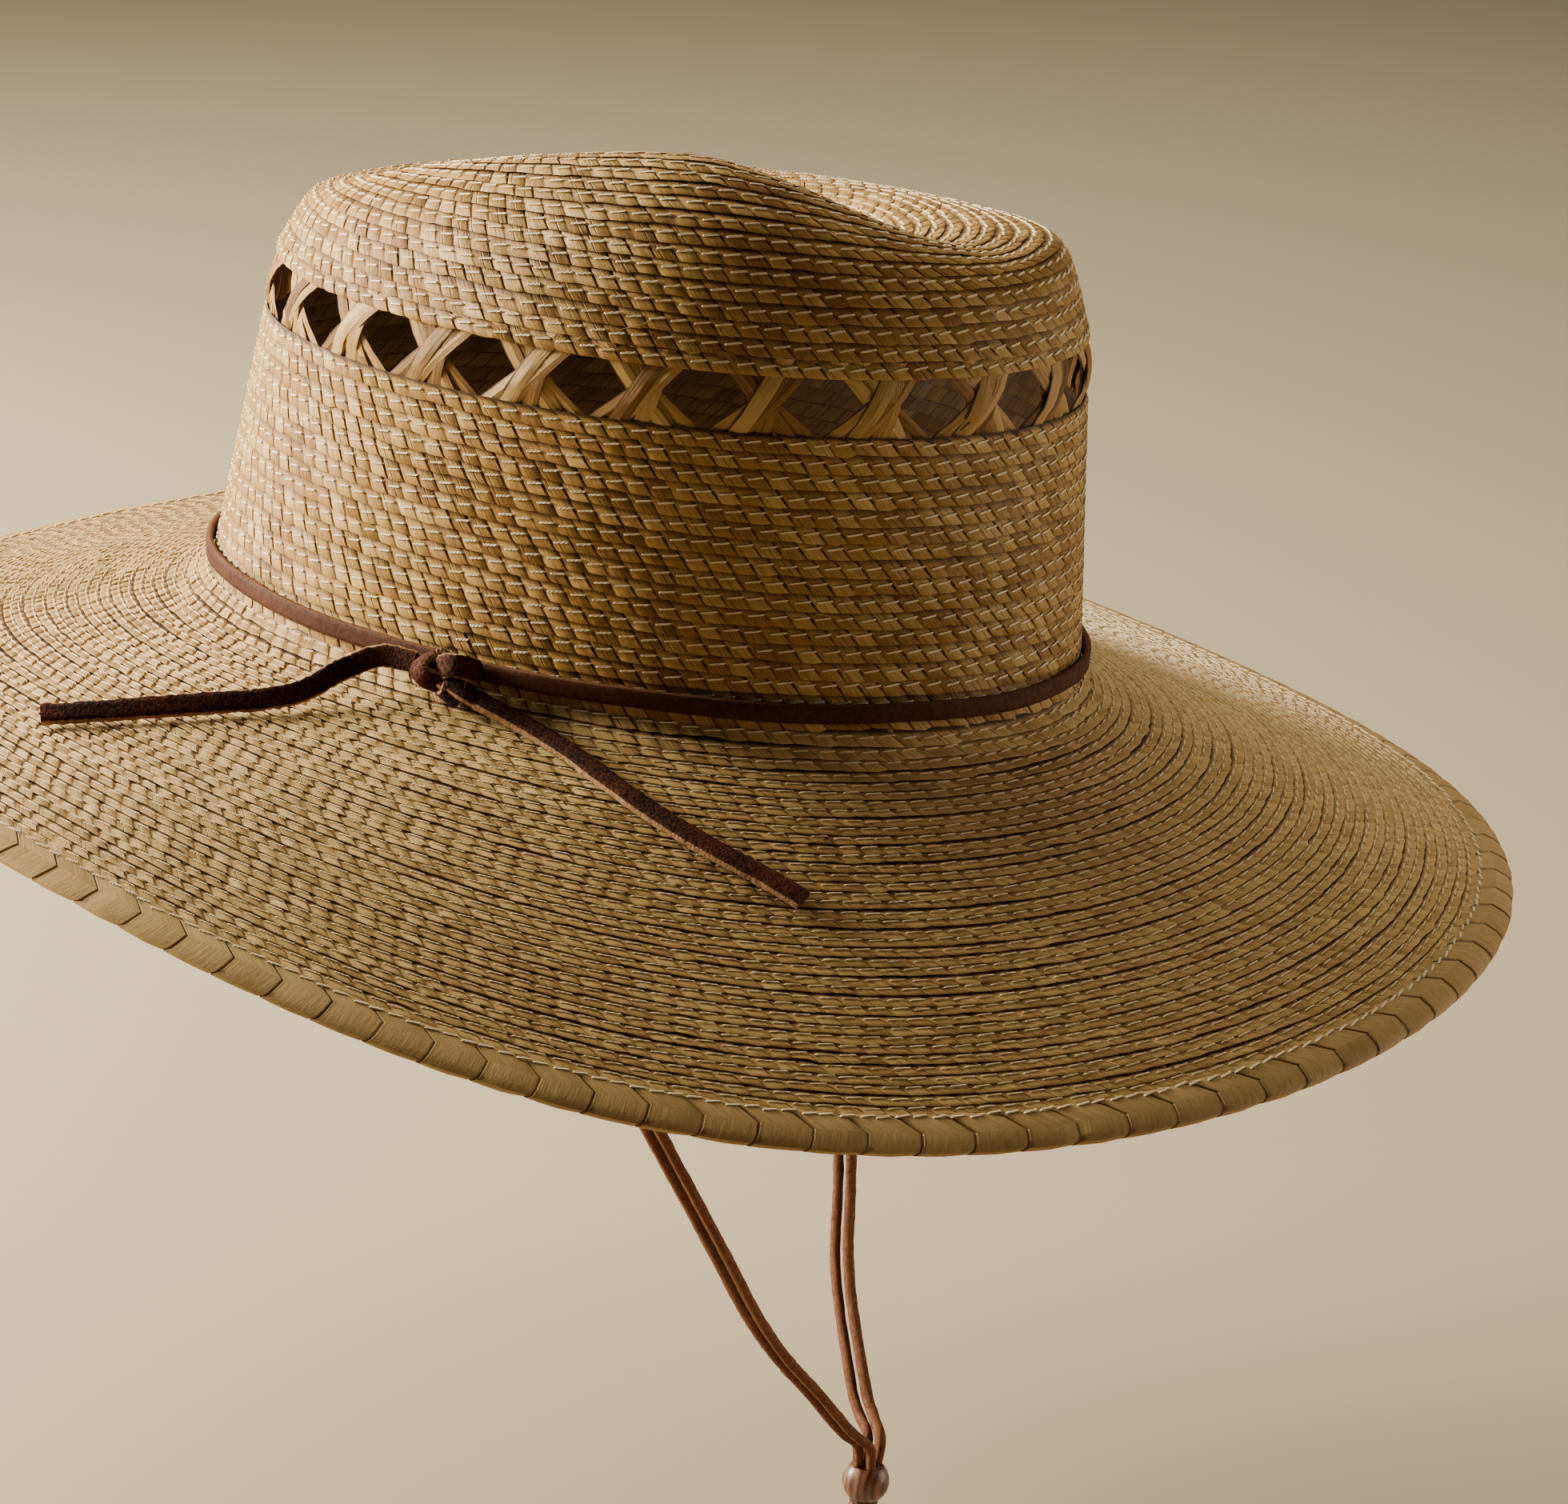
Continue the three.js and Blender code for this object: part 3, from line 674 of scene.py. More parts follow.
# %% The suede group and its finishes
nap, given, out = group(
    "suede_nap", [("Vector", "Vector", None), ("Fleck", "Float", 900.0)], ["Tone", "Height"],
)
coarse = noise(nap, given["Vector"], given["Fleck"], 4.0, 0.7)
pore_scale = Value(nap, given["Fleck"]) * 1.3
pores = Value(nap, put(nap, "TexVoronoi", Vector=given["Vector"], Scale=pore_scale).outputs[0])
wear = noise(nap, given["Vector"], 60.0, 2.0)
nap.links.new((coarse * 0.75 + wear * 0.35).socket, out["Tone"])
nap.links.new((coarse * 0.8 + pores * 0.5).socket, out["Height"])


def leather_material(name, colours, fleck, bump, roughness=(0.95, 0.8), spread=(0.38, 0.72)):
    """Leather from a dark to a pale colour; the sides, where it was cut, show a third."""
    material, tree, shader, here = new_material(name)
    dark, pale, cut = colours
    hide = put(tree, "Group", {"node_tree": nap}, Vector=here, Fleck=fleck).outputs
    tone = Value(tree, hide["Tone"])
    weave = put(tree, "UVMap", {"uv_map": "weave"}).outputs[0]
    across = Value(tree, put(tree, "SeparateXYZ", i0=weave).outputs[1])
    side = fade(abs(across), 0.88, 0.97, 0.0, 0.8) * fade(tone, 0.35, 0.6, 0.3, 1.0)
    colour = put(
        tree, "Mix", {"data_type": "RGBA"}, i0=side,
        i6=colour_ramp(tree, tone, zip(spread, (dark, pale))), i7=(*cut, 1),
    ).outputs[2]
    coat(tree, shader, colour, fade(tone, 0.3, 0.7, *roughness), hide["Height"], bump)
    shader.inputs["Specular IOR Level"].default_value = 0.15
    return material


suede = leather_material(
    "rough_suede_lace", ((0.006, 0.0015, 0.001), (0.115, 0.026, 0.008), (0.42, 0.24, 0.115)),
    1300.0, 1.0, spread=(0.46, 0.70),
)
smooth_lace = leather_material(
    "smooth_leather_lace", ((0.040, 0.011, 0.004), (0.085, 0.026, 0.009), (0.15, 0.065, 0.028)),
    700.0, 0.3, (0.85, 0.7),
)
cord_leather = leather_material(
    "worn_leather_cord", ((0.085, 0.024, 0.009), (0.21, 0.078, 0.034), (0.25, 0.12, 0.06)),
    900.0, 0.4, (0.8, 0.62),
)

# %% Finish the laces that are swept already
for name, (strand, _) in chin_strands.items():
    strand.data.materials.append(cord_leather)
    dress(strand, "lace", name)
for name, tail in tails.items():
    tail.data.materials.append(suede)
    dress(tail, "lace", name)

# %% [markdown]
# ## Shaping by hand
# The stitches and the ribbons of the open row are shaped once from a plain grid or cylinder,
# and then copied many times. The helpers do what a modeller does in edit mode: pick some
# vertices by their place and grab them.


# %% Shape by hand
def add(primitive, name, **settings):
    """A new primitive, with nothing else selected."""
    bpy.ops.object.select_all(action="DESELECT")
    primitive(**settings)
    piece = bpy.context.active_object
    piece.name = name
    return piece


def edit(action="SELECT", kind=None):
    """Opens edit mode, with all or nothing selected."""
    bpy.ops.object.mode_set(mode="EDIT")
    if kind:
        bpy.ops.mesh.select_mode(type=kind)
    bpy.ops.mesh.select_all(action=action)


def leave_edit():
    bpy.ops.object.mode_set(mode="OBJECT")


def pull(piece, where, move):
    """Moves the vertices that a test picks, as a grab does in edit mode."""
    pick(piece)
    edit("DESELECT", "VERT")
    leave_edit()
    for vertex in piece.data.vertices:
        vertex.select = bool(where(vertex.co))
    bpy.ops.object.mode_set(mode="EDIT")
    bpy.ops.transform.translate(value=move)
    leave_edit()


def thicken(piece, wall):
    pick(piece)
    modifier = piece.modifiers.new("wall", "SOLIDIFY")
    modifier.thickness, modifier.offset = wall, -1
    bpy.ops.object.modifier_apply(modifier=modifier.name)


def soften(piece, width, angle):
    """Rounds the edges that are sharper than an angle in degrees, and smooths the shading."""
    pick(piece)
    modifier = piece.modifiers.new("soft", "BEVEL")
    modifier.width, modifier.segments = width, 3
    modifier.limit_method, modifier.angle_limit = "ANGLE", math.radians(angle)
    bpy.ops.object.modifier_apply(modifier=modifier.name)
    bpy.ops.object.shade_smooth_by_angle(angle=math.radians(35))


def keep_shape(piece):
    """Reads a finished shape's points and faces, and takes the object away."""
    points = np.array([v.co for v in piece.data.vertices])
    faces = [list(p.vertices) for p in piece.data.polygons]
    bpy.data.objects.remove(piece)
    return points, faces


# %% [markdown]
# ## One stitch
# A stitch shows as a short pale dash that rises from the straw and dives back into it. It is a
# four-sided bar with pointed ends, bent down at both.

# %% Shape one stitch
STITCH_RADIUS, STITCH_LENGTH, STITCH_SLANT = 0.28 * MM, 2.9 * MM, 0.24 * MM
TIP_REACH, TIP_DROP = 0.7 * MM, 0.5 * MM
stitch_piece = add(
    bpy.ops.mesh.primitive_cylinder_add, "stitch",
    vertices=4, radius=STITCH_RADIUS, depth=STITCH_LENGTH, end_fill_type="TRIFAN",
)
edit()
bpy.ops.transform.rotate(value=math.radians(45), orient_axis="Z", center_override=(0, 0, 0))
bpy.ops.transform.rotate(value=math.radians(90), orient_axis="Y", center_override=(0, 0, 0))
bpy.ops.transform.resize(value=(1, 1, 0.7))
leave_edit()
for end in (1, -1):
    pull(
        stitch_piece,
        lambda p: p.x * end > 1 * MM and abs(p.y) + abs(p.z) < 0.05 * MM,
        (end * TIP_REACH, 0, -TIP_DROP),
    )
for end in (1, -1):
    pull(stitch_piece, lambda p: p.x * end > 0, (0, -end * STITCH_SLANT, 0))
stitch = keep_shape(stitch_piece)
print("One stitch has", len(stitch[1]), "faces")


# %% Lay copies round the hat
CELL = 4.8 * MM


def lay_round(
    shape, sheet, count, measured, run_of, lift_of, jitter, row,
    unit_length=CELL, slant=0.0, phase=0.0, height=MM, breadth=6 * MM,
):
    """Copies of a shape side by side, once round the hat: its X goes round, Y down, Z out."""
    points, faces = shape
    rng = np.random.default_rng(row + 11)
    angles, lengths = sheet.ring(measured)
    total = lengths[-1]
    number = np.arange(count)[:, None]
    shake = rng.normal(size=(count, 3)) * jitter
    share = points[None, :, 0] / unit_length + slant * points[None, :, 1] / unit_length
    x = (number + 0.5 + phase + share + shake[:, :1]) * total / count
    angle = np.interp(x % total, lengths, angles)
    run = run_of(points[None, :, 1], angle) + shake[:, 1:2]
    lift = lift_of(points[None, :, 1]) + points[None, :, 2] + shake[:, 2:3]
    placed = sheet.at(angle, run, lift + 0 * angle)
    u = number + 0.5 + points[None, :, 0] / breadth
    v = row + 0.02 + 0.96 * np.clip(points[None, :, 1] / height, 0, 1)
    uv = np.stack(np.broadcast_arrays(u, v + 0 * u), -1)
    n = len(points)
    all_faces = [[n * k + i for i in face] for k in range(count) for face in faces]
    return placed.reshape(-1, 3), all_faces, uv.reshape(-1, 2)


# %% [markdown]
# ## One strip with a slit at every cell
# A row of the hat is a flat braid that lies like a roof tile: its upper border is tucked under
# the row above and its lower border stands clear. Along it the palm strips cross at a slant, and
# each crossing leaves a narrow slit, deeper at some cells than at others. Displacement could
# fake the steps, but real overlaps throw real shadows, so a row is a strip with a closed
# section, drawn round the hat with a few stations to each cell.

# %% Draw a strip
def wander(angle, row):
    """How far a row strays from its even place, as hand-sewn rows do."""
    p = np.random.default_rng(1000 + row).uniform(0, FULL, 3)
    waves = ((0.7, 2), (0.5, 5), (0.3, 13))
    return 0.22 * MM * sum(high * np.sin(n * angle + s) for (high, n), s in zip(waves, p))


def start_of(row):
    """Where in a cell a row starts, so that the cells of two rows never line up for long."""
    return np.random.default_rng(2000 + row).uniform(0, 1)


def draw_strip(sheet, row, measured, length, stations, section, chances, rise):
    """A closed strip once round the hat; chances: the slit's depths, tilt, ragged border."""
    rng = np.random.default_rng(row + 11)
    angles, lengths = sheet.ring(measured)
    total = lengths[-1]
    count = max(7, round(total / length))
    at = np.arange(count * len(stations) + 1)
    number = (at // len(stations))[:, None]
    s = np.array(stations)[at % len(stations)][:, None]
    run, lift, shift, slit, border, weave = section.T
    deep = rng.uniform(*chances[0], count)[number % count]
    tilt = rng.normal(0, chances[1], count)[number % count]
    ragged = rng.normal(0, chances[2], count)[number % count]
    bulge = tilt * (s - 0.5) + rise * (np.sin(math.pi * s) + s)
    relief = np.where(s == stations[1], -deep, bulge)
    x = (number + s + shift / length + start_of(row)) * total / count
    angle = np.interp(x % total, lengths, angles)
    run = run + wander(angle, row) + border * (ragged + 0.22 * MM * (s - 0.5))
    run = np.maximum(run, -0.2 * MM)
    points = sheet.at(angle, run, lift + slit * relief + 0 * angle)
    uv = np.stack(np.broadcast_arrays(number + s * 0.999, weave + 0 * s), -1)
    return (points.reshape(-1, 3), tube_faces(*points.shape[:2]), uv.reshape(-1, 2)), count


# %% Sew rows
BRAID_SECTION = np.array([
    # share of the width, depth in mm, share of the slit, share of the ragged border
    (0.00, -1.05, 0.0, 0.0), (0.40, -0.60, 0.8, 0.0), (0.72, -0.22, 1.0, 0.0),
    (0.93, -0.03, 0.7, 0.6), (1.00, -0.20, 0.5, 1.0), (0.97, -0.62, 0.0, 1.0),
    (0.45, -1.15, 0.0, 0.0),
])


def sew_rows(
    sheet, rows, first_run, pitch, width, seed, stations=(0, 0.08, 0.17, 0.58),
    slant=0.8, step=0.8, seam=0.6, arch=1.0, under=(0.28, 0.31, 0.31),
):
    """The strips and stitches of some rows, each row tucked under the one above."""
    strips, stitches = [], []
    share, depth, slit, border = BRAID_SECTION.T
    for k in rows:
        low, row = first_run + (k + 1) * pitch, k + seed
        lift = np.maximum(depth, -0.6 if row == 0 else -9) * MM * step
        weave = row + 0.02 + 0.96 * share
        # the back's weave values put it in the painted shade under the row above: the crown's
        # values paint all of its inside dark, the brim's only the back next to the upper border
        weave[[0, 5, 6]] = row + np.array(under)
        run = low - width * (1 - share)
        section = np.stack([run, lift, slant * width * share, slit, border, weave], 1)
        chances = ((0.05 * MM * step, 0.75 * MM * step), 0.2 * MM * step, 0.12 * MM)
        strip, count = draw_strip(
            sheet, row, low - width / 3, CELL, stations, section, chances, 0.04 * MM,
        )
        strips.append(strip)
        y = width - seam * pitch
        height = np.interp(y / width, share[:4], depth[:4]) * MM * step + 0.20 * MM
        stitches.append(lay_round(
            stitch, sheet, count, low - width / 3,
            lambda v, angle: low - seam * pitch + v * arch + wander(angle, row),
            lambda v: height + 0 * v, (0.05, 0.12 * MM, 0.04 * MM), row,
            phase=start_of(row) + slant * y / CELL - 0.8,
        ))
    return strips, stitches


# %% [markdown]
# ## The crown's side and the brim
# The side is seventeen rows and the brim thirty nine, drawn closer together. On the real hat
# they are one sewn spiral, so the rows run on over the turn at the crown's foot without a
# break. A brim cell is a simpler shape, because the brim has so many of them. The brim is two
# pieces, an inner and an outer half, so that neither grows too large.

# %% Sew the side and the brim
SIDE_ROWS, BRIM_ROWS, HALF_BRIM = 17, 39, 21
SIDE_STRIP, BRIM_STRIP, UNDER_BINDING = 5.2 * MM, 3.8 * MM, 9.4 * MM
brim_pitch = (BRIM_WIDTH - UNDER_BINDING) / BRIM_ROWS
strips, stitches = sew_rows(side_sheet, range(SIDE_ROWS), 0, SIDE_RUN / SIDE_ROWS, SIDE_STRIP, 0)
dress(build("crown_side_braid", strips, crown_straw), "straw", "crown_side")
dress(build("crown_side_stitches", stitches, thread), "straw")
for name, rows in (("brim_inner", range(HALF_BRIM)), ("brim_outer", range(HALF_BRIM, BRIM_ROWS))):
    strips, stitches = sew_rows(
        side_sheet, rows, SIDE_RUN, brim_pitch, BRIM_STRIP, 40, stations=(0, 0.1, 0.55),
        slant=1.1, step=0.6, seam=0.70, arch=0.5, under=(0.12, 0.8, 0.8),
    )
    dress(build(name + "_braid", strips, brim_straw), "straw", "brim")
    dress(build(name + "_stitches", stitches, thread), "straw")

# %% [markdown]
# ## The crown's top
# The top is sewn from its middle outwards, and then blocked into its lop-sided ridge and
# hollow. The rows keep their order on the blocked shape.

# %% Sew the top
TOP_PITCH, TOP_STRIP = 3.5 * MM, 5.0 * MM
top_rows = round(TOP_RUN / TOP_PITCH)
strips, stitches = sew_rows(
    top_sheet, range(top_rows), 0.0, TOP_RUN / top_rows, TOP_STRIP, 100, step=0.65,
)
dress(build("crown_top_braid", strips, crown_straw), "straw", "crown_top")
dress(build("crown_top_stitches", stitches, thread), "straw")

# %% [markdown]
# ## The open row
# Between the side and the top, twenty two pairs of folded palm ribbons cross and leave
# six-sided holes. Each ribbon is four narrow strips laid over each other, which fan out towards
# their ends, so that its folds are real edges. One strip is modelled and copied: one way over,
# the other way under.

# %% Cross the ribbons
VENT_COUNT, VENT_PHASE = 22, 0.8
STRIP_LENGTH, STRIP_WIDTH = 19.0 * MM, 4.3 * MM
strip_piece = add(
    bpy.ops.mesh.primitive_grid_add, "vent_strip", x_subdivisions=2, y_subdivisions=9, size=1,
)
edit()
bpy.ops.transform.resize(value=(STRIP_WIDTH, STRIP_LENGTH, 1))
bpy.ops.transform.translate(value=(0, STRIP_LENGTH / 2, 0))
leave_edit()
pull(strip_piece, lambda p: abs(p.x) < 1 * MM, (0.5 * MM, 0, 0.22 * MM))
pull(strip_piece, lambda p: p.x < -1 * MM, (0, 0, -0.22 * MM))
thicken(strip_piece, 0.3 * MM)
vent_strip = keep_shape(strip_piece)
vent_middle, vent_ring = SIDE_TOP - 0.0730, SIDE_TOP - 0.0724
vent_pitch = side_sheet.ring(vent_ring)[1][-1] / VENT_COUNT
# each strip's place beside the ribbon's middle in mm, and how much it fans out
RIBBON_STRIPS = ((-1.7, 0.44), (1.7, -0.46), (1.2, 0.16), (-1.2, -0.14))


def cross_ribbons(lean, over, seed):
    """Four strips of every ribbon that leans one way."""
    parts = []
    for k, (aside, fan) in enumerate(RIBBON_STRIPS):
        slant = lean * 0.72 - fan
        phase = VENT_PHASE + (aside * MM - slant * STRIP_LENGTH / 2) / vent_pitch
        bow = lambda y: np.clip((np.abs(y / STRIP_LENGTH * 2 - 1) - 0.2) / 0.45, 0, 1) ** 1.5
        parts.append(lay_round(
            vent_strip, side_sheet, VENT_COUNT, vent_ring,
            lambda y, angle: vent_middle - STRIP_LENGTH / 2 + y,
            lambda y: (over + 0.16 * k) * MM - (1.5 + over) * MM * bow(y),
            (0.012, 0.25 * MM, 0.06 * MM), seed + k, unit_length=vent_pitch, slant=slant,
            phase=phase, height=STRIP_LENGTH, breadth=STRIP_WIDTH * 1.04,
        ))
    return parts


ribbons = cross_ribbons(1, -0.6, 200) + cross_ribbons(-1, 0.2, 210)
dress(build("vent_row_ribbons", ribbons, ribbon_straw, smooth=20), "straw", "vent_row")

# %% [markdown]
# ## The plaited edge
# A flat plait of wide palm strips is folded over the edge of the brim and sewn through. Seen
# from above, the folds of its inner lane lean one way, and those of its outer lane run straight
# on to the rim, where each leaves a small notch. It is the same kind of strip as a row, with
# wider cells and a section that goes once round the edge.

# %% Plait the edge
def soft_power(wave, power):
    """A wave raised to a power, with its sign kept."""
    return np.sign(wave) * np.abs(wave) ** power


HALF_TURN = 10.5 * MM
edge_run = np.arange(0, 2 * HALF_TURN + STEP / 2, STEP)
phi = math.pi * (1 - edge_run / HALF_TURN)
reach = BRIM_WIDTH - 5.2 * MM + 5.1 * MM * soft_power(np.cos(phi), 0.75)
rise = -1 * MM + 1.35 * MM * soft_power(np.sin(phi), 0.7)
edge_sheet = Sheet(np.stack([brim_point(ROUND, d, z) for d, z in zip(reach, rise)], 1), 0.0, STEP)
PLAIT, LANE, EDGE_RING = 11 * MM, HALF_TURN / 2, HALF_TURN * 0.6
LANES = np.array([
    # distance over the edge and shift along it in mm, share of the fold's depth
    (0.0, -9.5, 0.0), (0.8, -8.8, 0.3), (1.8, -7.0, 0.6), (3.5, -3.6, 0.8), (5.25, 0.0, 1.0),
    (7.0, -0.3, 1.0), (8.8, -0.8, 1.2), (9.8, -1.3, 1.5), (10.5, -1.9, 1.7), (11.2, -2.5, 1.5),
    (12.2, -3.0, 1.2), (14.0, -3.5, 1.0), (15.75, -4.0, 1.0), (17.5, -7.6, 0.8),
    (19.2, -11.0, 0.6), (20.2, -12.8, 0.3),
])
distance, shift, fold = LANES.T
at_rim = 0.15 * (distance > 9) * (distance < 12)
section = np.stack([
    distance * MM, 0 * fold - 0.06 * MM, shift * MM, fold, at_rim, 300 + distance * MM / LANE,
], 1)
plait, plaits = draw_strip(
    edge_sheet, 300, EDGE_RING, PLAIT, (0, 0.035, 0.07, 0.3, 0.65), section,
    ((0.2 * MM, 0.5 * MM), 0.12 * MM, 0.6 * MM), 0.09 * MM,
)
dress(build("brim_edge_plait", [plait], edge_straw, smooth=30), "straw_edge", "brim_edge")
HEM_PITCH, HEM_INSET = 3.9 * MM, 3.1 * MM
hem = [
    lay_round(
        stitch, edge_sheet, round(plaits * PLAIT / HEM_PITCH), EDGE_RING,
        lambda y, angle: at + y, lambda y: 0.16 * MM + 0 * y,
        (0.05, 0.2 * MM, 0.03 * MM), 320 + k, unit_length=4.3 * MM,
    )
    for k, at in enumerate((HEM_INSET, 2 * HALF_TURN - HEM_INSET))
]
dress(build("brim_edge_stitches", hem, thread), "straw_edge")

# %% [markdown]
# ## The hat band and its knot
# One lace runs round the foot of the crown and is tied at the wearer's right with a plain
# overhand knot, whose shape is a trefoil. Band and knot are the same flat lace, and in the knot
# it turns over itself so that its folds and cut sides show.

# %% Tie the band
BAND_HEIGHT, BAND_OFFSET = 7.5 * MM, 1.25 * MM
band_angle = np.linspace(0, FULL, 300, endpoint=False)
band_wave = 0.25 * MM * np.sin(3 * band_angle) + 0.15 * MM * np.sin(11 * band_angle)
band_route = crown_point(band_angle, BAND_HEIGHT + band_wave, BAND_OFFSET)
band_part = sweep(
    band_route, outward(band_angle), LACE_WIDTH / 2, LACE_THICKNESS * 0.42, 5,
    closed=True, rough=0.02,
)
dress(build("hat_band_lace", [band_part], smooth_lace, smooth=60), "lace", "hat_band")


def tie(centre, size, half_width, half_thickness, seed):
    """A pulled-tight knot: one closed trefoil of lace, of a size along X, Y and Z."""
    t = np.linspace(0, FULL, 150, endpoint=False) + 0.5
    x, y = -np.sin(3 * t), (np.sin(t) + 2 * np.sin(2 * t)) / 3
    shape = np.stack([x, y, (np.cos(t) - 2 * np.cos(2 * t)) / 3], 1)
    ups = unit(shape * [1.0, 0.7, 0.7] + [-0.7, 0, 0])
    route = np.array(centre) + shape * size
    return sweep(route, ups, half_width, half_thickness, seed, closed=True, rough=0.04)


KNOT = np.array([-86.7, 0, 6.6])
knot_parts = [tie(KNOT * MM, (2.5 * MM, 6.6 * MM, 4.9 * MM), 2.5 * MM, 0.95 * MM, 8)]
for points, inside, up in (
    (TAIL_BACK, [(-86.6, 0.5, 6.2), (-87.2, 4.5, 6.6)], (-1, -0.3, 0.4)),
    (TAIL_FRONT, [(-87.6, 0.5, 5.6), (-88.4, -4.6, 4.6)], (-0.6, 0, 1)),
):
    route = smooth_route(np.array(inside + points[:2]) * MM, 60)[:42]
    ups = np.broadcast_to(up, route.shape)
    knot_parts.append(sweep(route, ups, LACE_WIDTH * 0.53, LACE_THICKNESS * 0.46, 21))
dress(build("band_knot_tied", knot_parts, suede, smooth=50), "lace", "band_knot")

# %% [markdown]
# ## The wooden bead and the stop knot
# One round bead gathers the four strands, and a knot under it keeps it on. The bead is a
# sphere with its ends cut flat, opened by an inset and an extrude, and softened by a bevel.

# %% Turn the bead
bead_wood, tree, shader, here = new_material("dark_waxed_wood")
here = put(tree, "Mapping", Vector=here, Location=(0.01, 0.02, 0.05), Scale=(1, 1, 0.25)).outputs[0]
grain = Value(tree, put(
    tree, "TexWave", {"wave_type": "RINGS", "rings_direction": "Z"},
    Vector=here, Scale=180.0, Distortion=6.0, Detail=3.0,
).outputs[1])
mottle = noise(tree, here, 420.0, 4.0)
brown = colour_ramp(tree, grain * 0.45 + mottle * 0.6, [
    (0.25, (0.05, 0.016, 0.009)), (0.85, (0.24, 0.10, 0.055)),
])
coat(tree, shader, brown, fade(mottle, 0.3, 0.7, 0.38, 0.55), mottle, 0.25)
shader.inputs["Coat Weight"].default_value = 0.2

bead = add(
    bpy.ops.mesh.primitive_uv_sphere_add, "chin_bead_wood",
    segments=40, ring_count=24, radius=BEAD_RADIUS,
)
edit(kind="FACE")
for side in (1, -1):
    bpy.ops.mesh.select_all(action="SELECT")
    bpy.ops.mesh.bisect(
        plane_co=(0, 0, side * BEAD_FLAT), plane_no=(0, 0, side),
        use_fill=True, clear_outer=True,
    )
leave_edit()
for face in bead.data.polygons:
    face.select = abs(face.center.z) > BEAD_FLAT * 0.999
bpy.ops.object.mode_set(mode="EDIT")
bpy.ops.mesh.inset(thickness=0.35 * MM)
leave_edit()
for side in (1, -1):
    for face in bead.data.polygons:
        face.select = face.center.z * side > BEAD_FLAT * 0.999 and len(face.vertices) > 8
    bpy.ops.object.mode_set(mode="EDIT")
    bpy.ops.mesh.extrude_region_move(TRANSFORM_OT_translate={"value": (0, 0, -side * 1.6 * MM)})
    leave_edit()
soften(bead, 0.25 * MM, 40)
edit()
bpy.ops.transform.translate(value=tuple(BEAD))
leave_edit()
bead.data.materials.append(bead_wood)
dress(bead, "bead", "chin_bead")

STOP_SIZE = (1.5 * MM, 2.2 * MM, 1.7 * MM)
stop = tie(BEAD - [0, 0, BEAD_FLAT + 3.35 * MM], STOP_SIZE, 1.35 * MM, 1.1 * MM, 12)
stop_knot = build("chin_stop_knot_tied", [stop], cord_leather, smooth=60)
dress(stop_knot, "lace", "chin_stop_knot")

# %% [markdown]
# ## The leather tabs
# Inside the crown each pair of strands is held under a small leather tab, sewn through the
# braid. A cube is cut to size, its corners are rounded by a bevel, and the same stitch goes
# round it.

# %% Cut and sew the tabs
TAB_HEM = 1.3 * MM
for side_name, side in (("right", 1), ("left", -1)):
    low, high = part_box("chin_tab_" + side_name)
    tab = add(bpy.ops.mesh.primitive_cube_add, f"chin_tab_{side_name}_leather", size=1)
    edit()
    bpy.ops.transform.resize(value=tuple(high - low))
    bpy.ops.transform.translate(value=tuple((low + high) / 2))
    edit("DESELECT", "EDGE")
    leave_edit()
    for edge in tab.data.edges:
        a, b = (tab.data.vertices[i].co for i in edge.vertices)
        edge.select = abs(a.x - b.x) > 1 * MM
    bpy.ops.object.mode_set(mode="EDIT")
    bpy.ops.mesh.bevel(offset=2 * MM, segments=5)
    leave_edit()
    soften(tab, 0.4 * MM, 50)
    tab.data.materials.append(smooth_lace)
    dress(tab, "lace", "chin_tab_" + side_name)
    points, faces = stitch
    sewn = []
    face_x = high.x if side > 0 else low.x
    out_way = np.array([side, 0, 0])
    (left, right), (foot, top) = ((low[k] + TAB_HEM, high[k] - TAB_HEM) for k in (1, 2))
    corners = np.array([
        (face_x, left, foot), (face_x, right, foot), (face_x, right, top), (face_x, left, top),
    ])
    for corner, after in zip(corners, np.roll(corners, -1, 0)):
        way = unit(after - corner)
        for k in range(3):
            at = corner + (after - corner) * (k + 0.5) / 3 + points[:, :1] * 0.9 * way
            at = at + points[:, 1:2] * np.cross(out_way, way)
            at = at + (points[:, 2:] + 0.05 * MM) * out_way
            sewn.append((at, faces, at[:, 1:] * 100))
    dress(build(f"chin_tab_{side_name}_stitches", sewn, thread), "lace")

# %% [markdown]
# ## Stray fibres
# A hand-made palm hat sheds: a few thin slivers stand off the straw. Each is a thin tapered
# sweep that starts in a row and curls away from it.

# %% Let some fibres stray
SLIVER_WIDTH = 0.17 * MM
rng = np.random.default_rng(41)
slivers = []


def sliver(sheet, angle, run, turn, length, curl, seed):
    """A thin fibre that leaves the surface at a place and heads off at a turn from the row."""
    s = np.linspace(0, 1, 10)
    angles, lengths = sheet.ring(run)
    start = np.interp(angle, angles, lengths)
    x = start + length * s * math.cos(turn) + 0.12 * length * np.sin(s * 3)
    at = np.interp(x % lengths[-1], lengths, angles)
    lift = -0.3 * MM + curl * np.sin(s * math.pi * 0.62) ** 1.3
    route = sheet.at(at, run + length * s * math.sin(turn), lift)
    ups = sheet.at(at, run + 0 * s, 0 * s + 1.0) - sheet.at(at, run + 0 * s, 0 * s)
    taper = SLIVER_WIDTH * (1 - 0.85 * s**2)
    return sweep(route, ups, taper, taper * 0.5, seed, ROUND_SECTION[::2], rough=0.1)


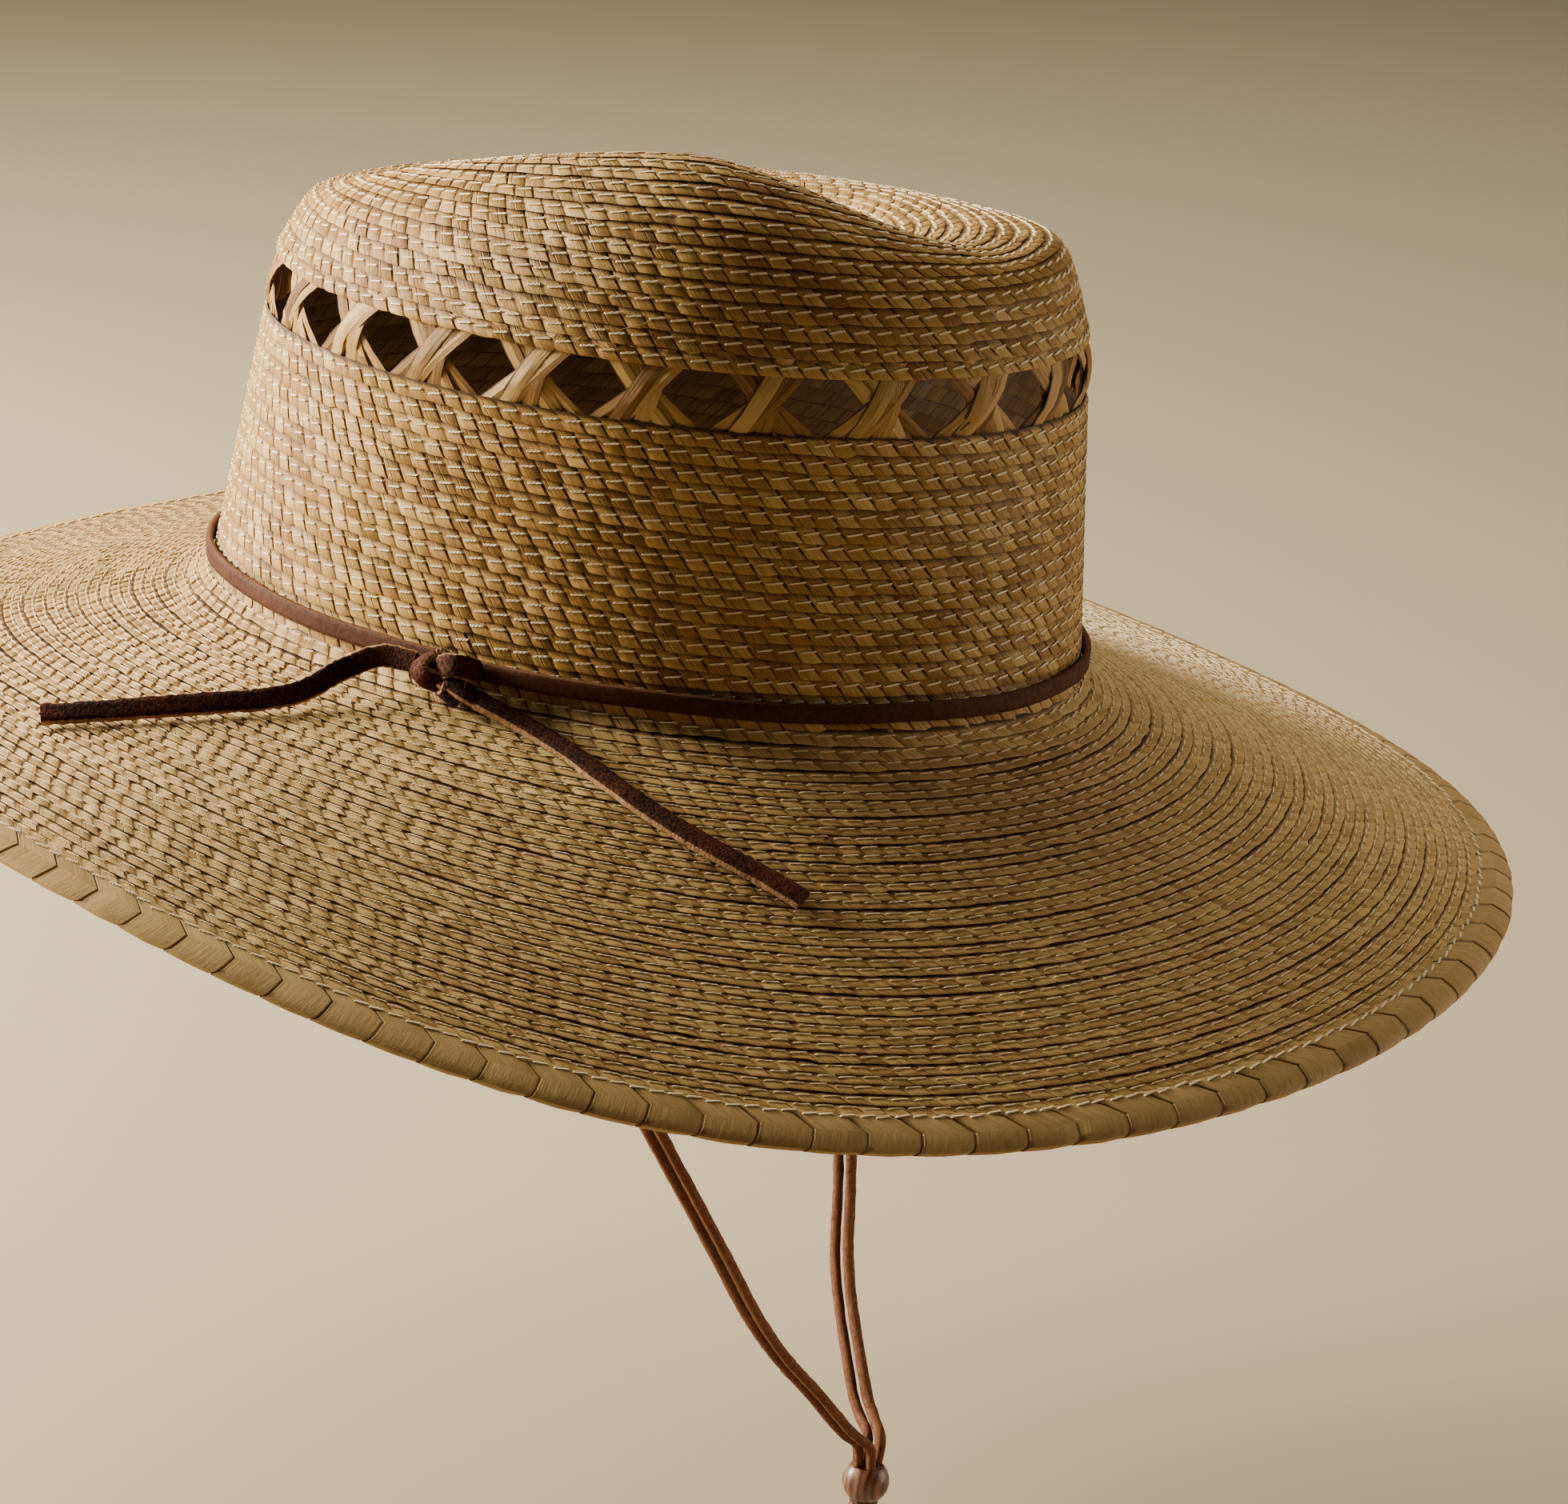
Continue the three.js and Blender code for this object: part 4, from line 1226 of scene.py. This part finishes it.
on_top, on_side = (top_sheet, 0.02, TOP_RUN), (side_sheet, 0.004, SIDE_RUN + 0.095)
for k in range(48):
    sheet, *reach = on_side if k % 3 else on_top
    slivers.append(sliver(
        sheet, rng.uniform(0, FULL), rng.uniform(*reach),
        rng.uniform(-0.5, 0.5) + (math.pi if k % 2 else 0),
        rng.uniform(4, 10) * MM, rng.uniform(0.5, 1.6) * MM, k + 500,
    ))
dress(build("stray_fibres", slivers, ribbon_straw), "straw")

# %% [markdown]
# ## Floor and light
# A plain pale floor under four soft area lights: a strong one from the left like a window, a
# wide one from high behind, a faint one from the right like light off a wall, and one on the
# far floor, with a dim warm room around them. One sun lamp would be simpler, but its hard
# shadows hide the straw.

# %% Light the hat
FLOOR_LEVEL = -0.215
floor = add(bpy.ops.mesh.primitive_plane_add, "floor", size=24, location=(0, 0, FLOOR_LEVEL))
pale_floor = bpy.data.materials.new("pale_floor")
pale_floor.use_nodes = True
shader = pale_floor.node_tree.nodes["Principled BSDF"]
shader.inputs["Base Color"].default_value = (0.42, 0.35, 0.25, 1)
shader.inputs["Roughness"].default_value = 0.9
floor.data.materials.append(pale_floor)
floor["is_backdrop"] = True

world = bpy.data.worlds.new("room")
bpy.context.scene.world = world
world.use_nodes = True
room = world.node_tree.nodes["Background"]
room.inputs["Color"].default_value = (1.0, 0.85, 0.62, 1)
room.inputs["Strength"].default_value = 0.05


def soft_light(name, place, size, power, colour, aim=(0, 0, 0.03)):
    """A square area light at a place, turned to the spot that it is aimed at."""
    light = bpy.data.objects.new(name, bpy.data.lights.new(name, "AREA"))
    bpy.context.scene.collection.objects.link(light)
    light.location = place
    light.data.shape, light.data.size = "SQUARE", size
    light.data.energy, light.data.color = power, colour
    way = unit(np.array(aim) - place)
    light.rotation_euler = (math.acos(-way[2]), 0, math.atan2(way[1], way[0]) - math.pi / 2)


soft_light("window", (-0.32, 1.38, 0.42), 0.7, 112, (1.0, 0.92, 0.74))
soft_light("skylight", (0.75, 1.05, 1.55), 1.8, 38, (1.0, 0.87, 0.64))
soft_light("wall_glow", (0.75, -1.15, 0.20), 0.9, 11, (1.0, 0.86, 0.68))
soft_light("far_floor", (2.7, 0.4, 1.0), 2.0, 9, (1.0, 0.90, 0.76), aim=(2.9, 0.4, -0.2))

# %% Measure and finish
low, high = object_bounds()
print("Dressed:", [round((b - a) * 1000, 1) for a, b in zip(low, high)], "mm")
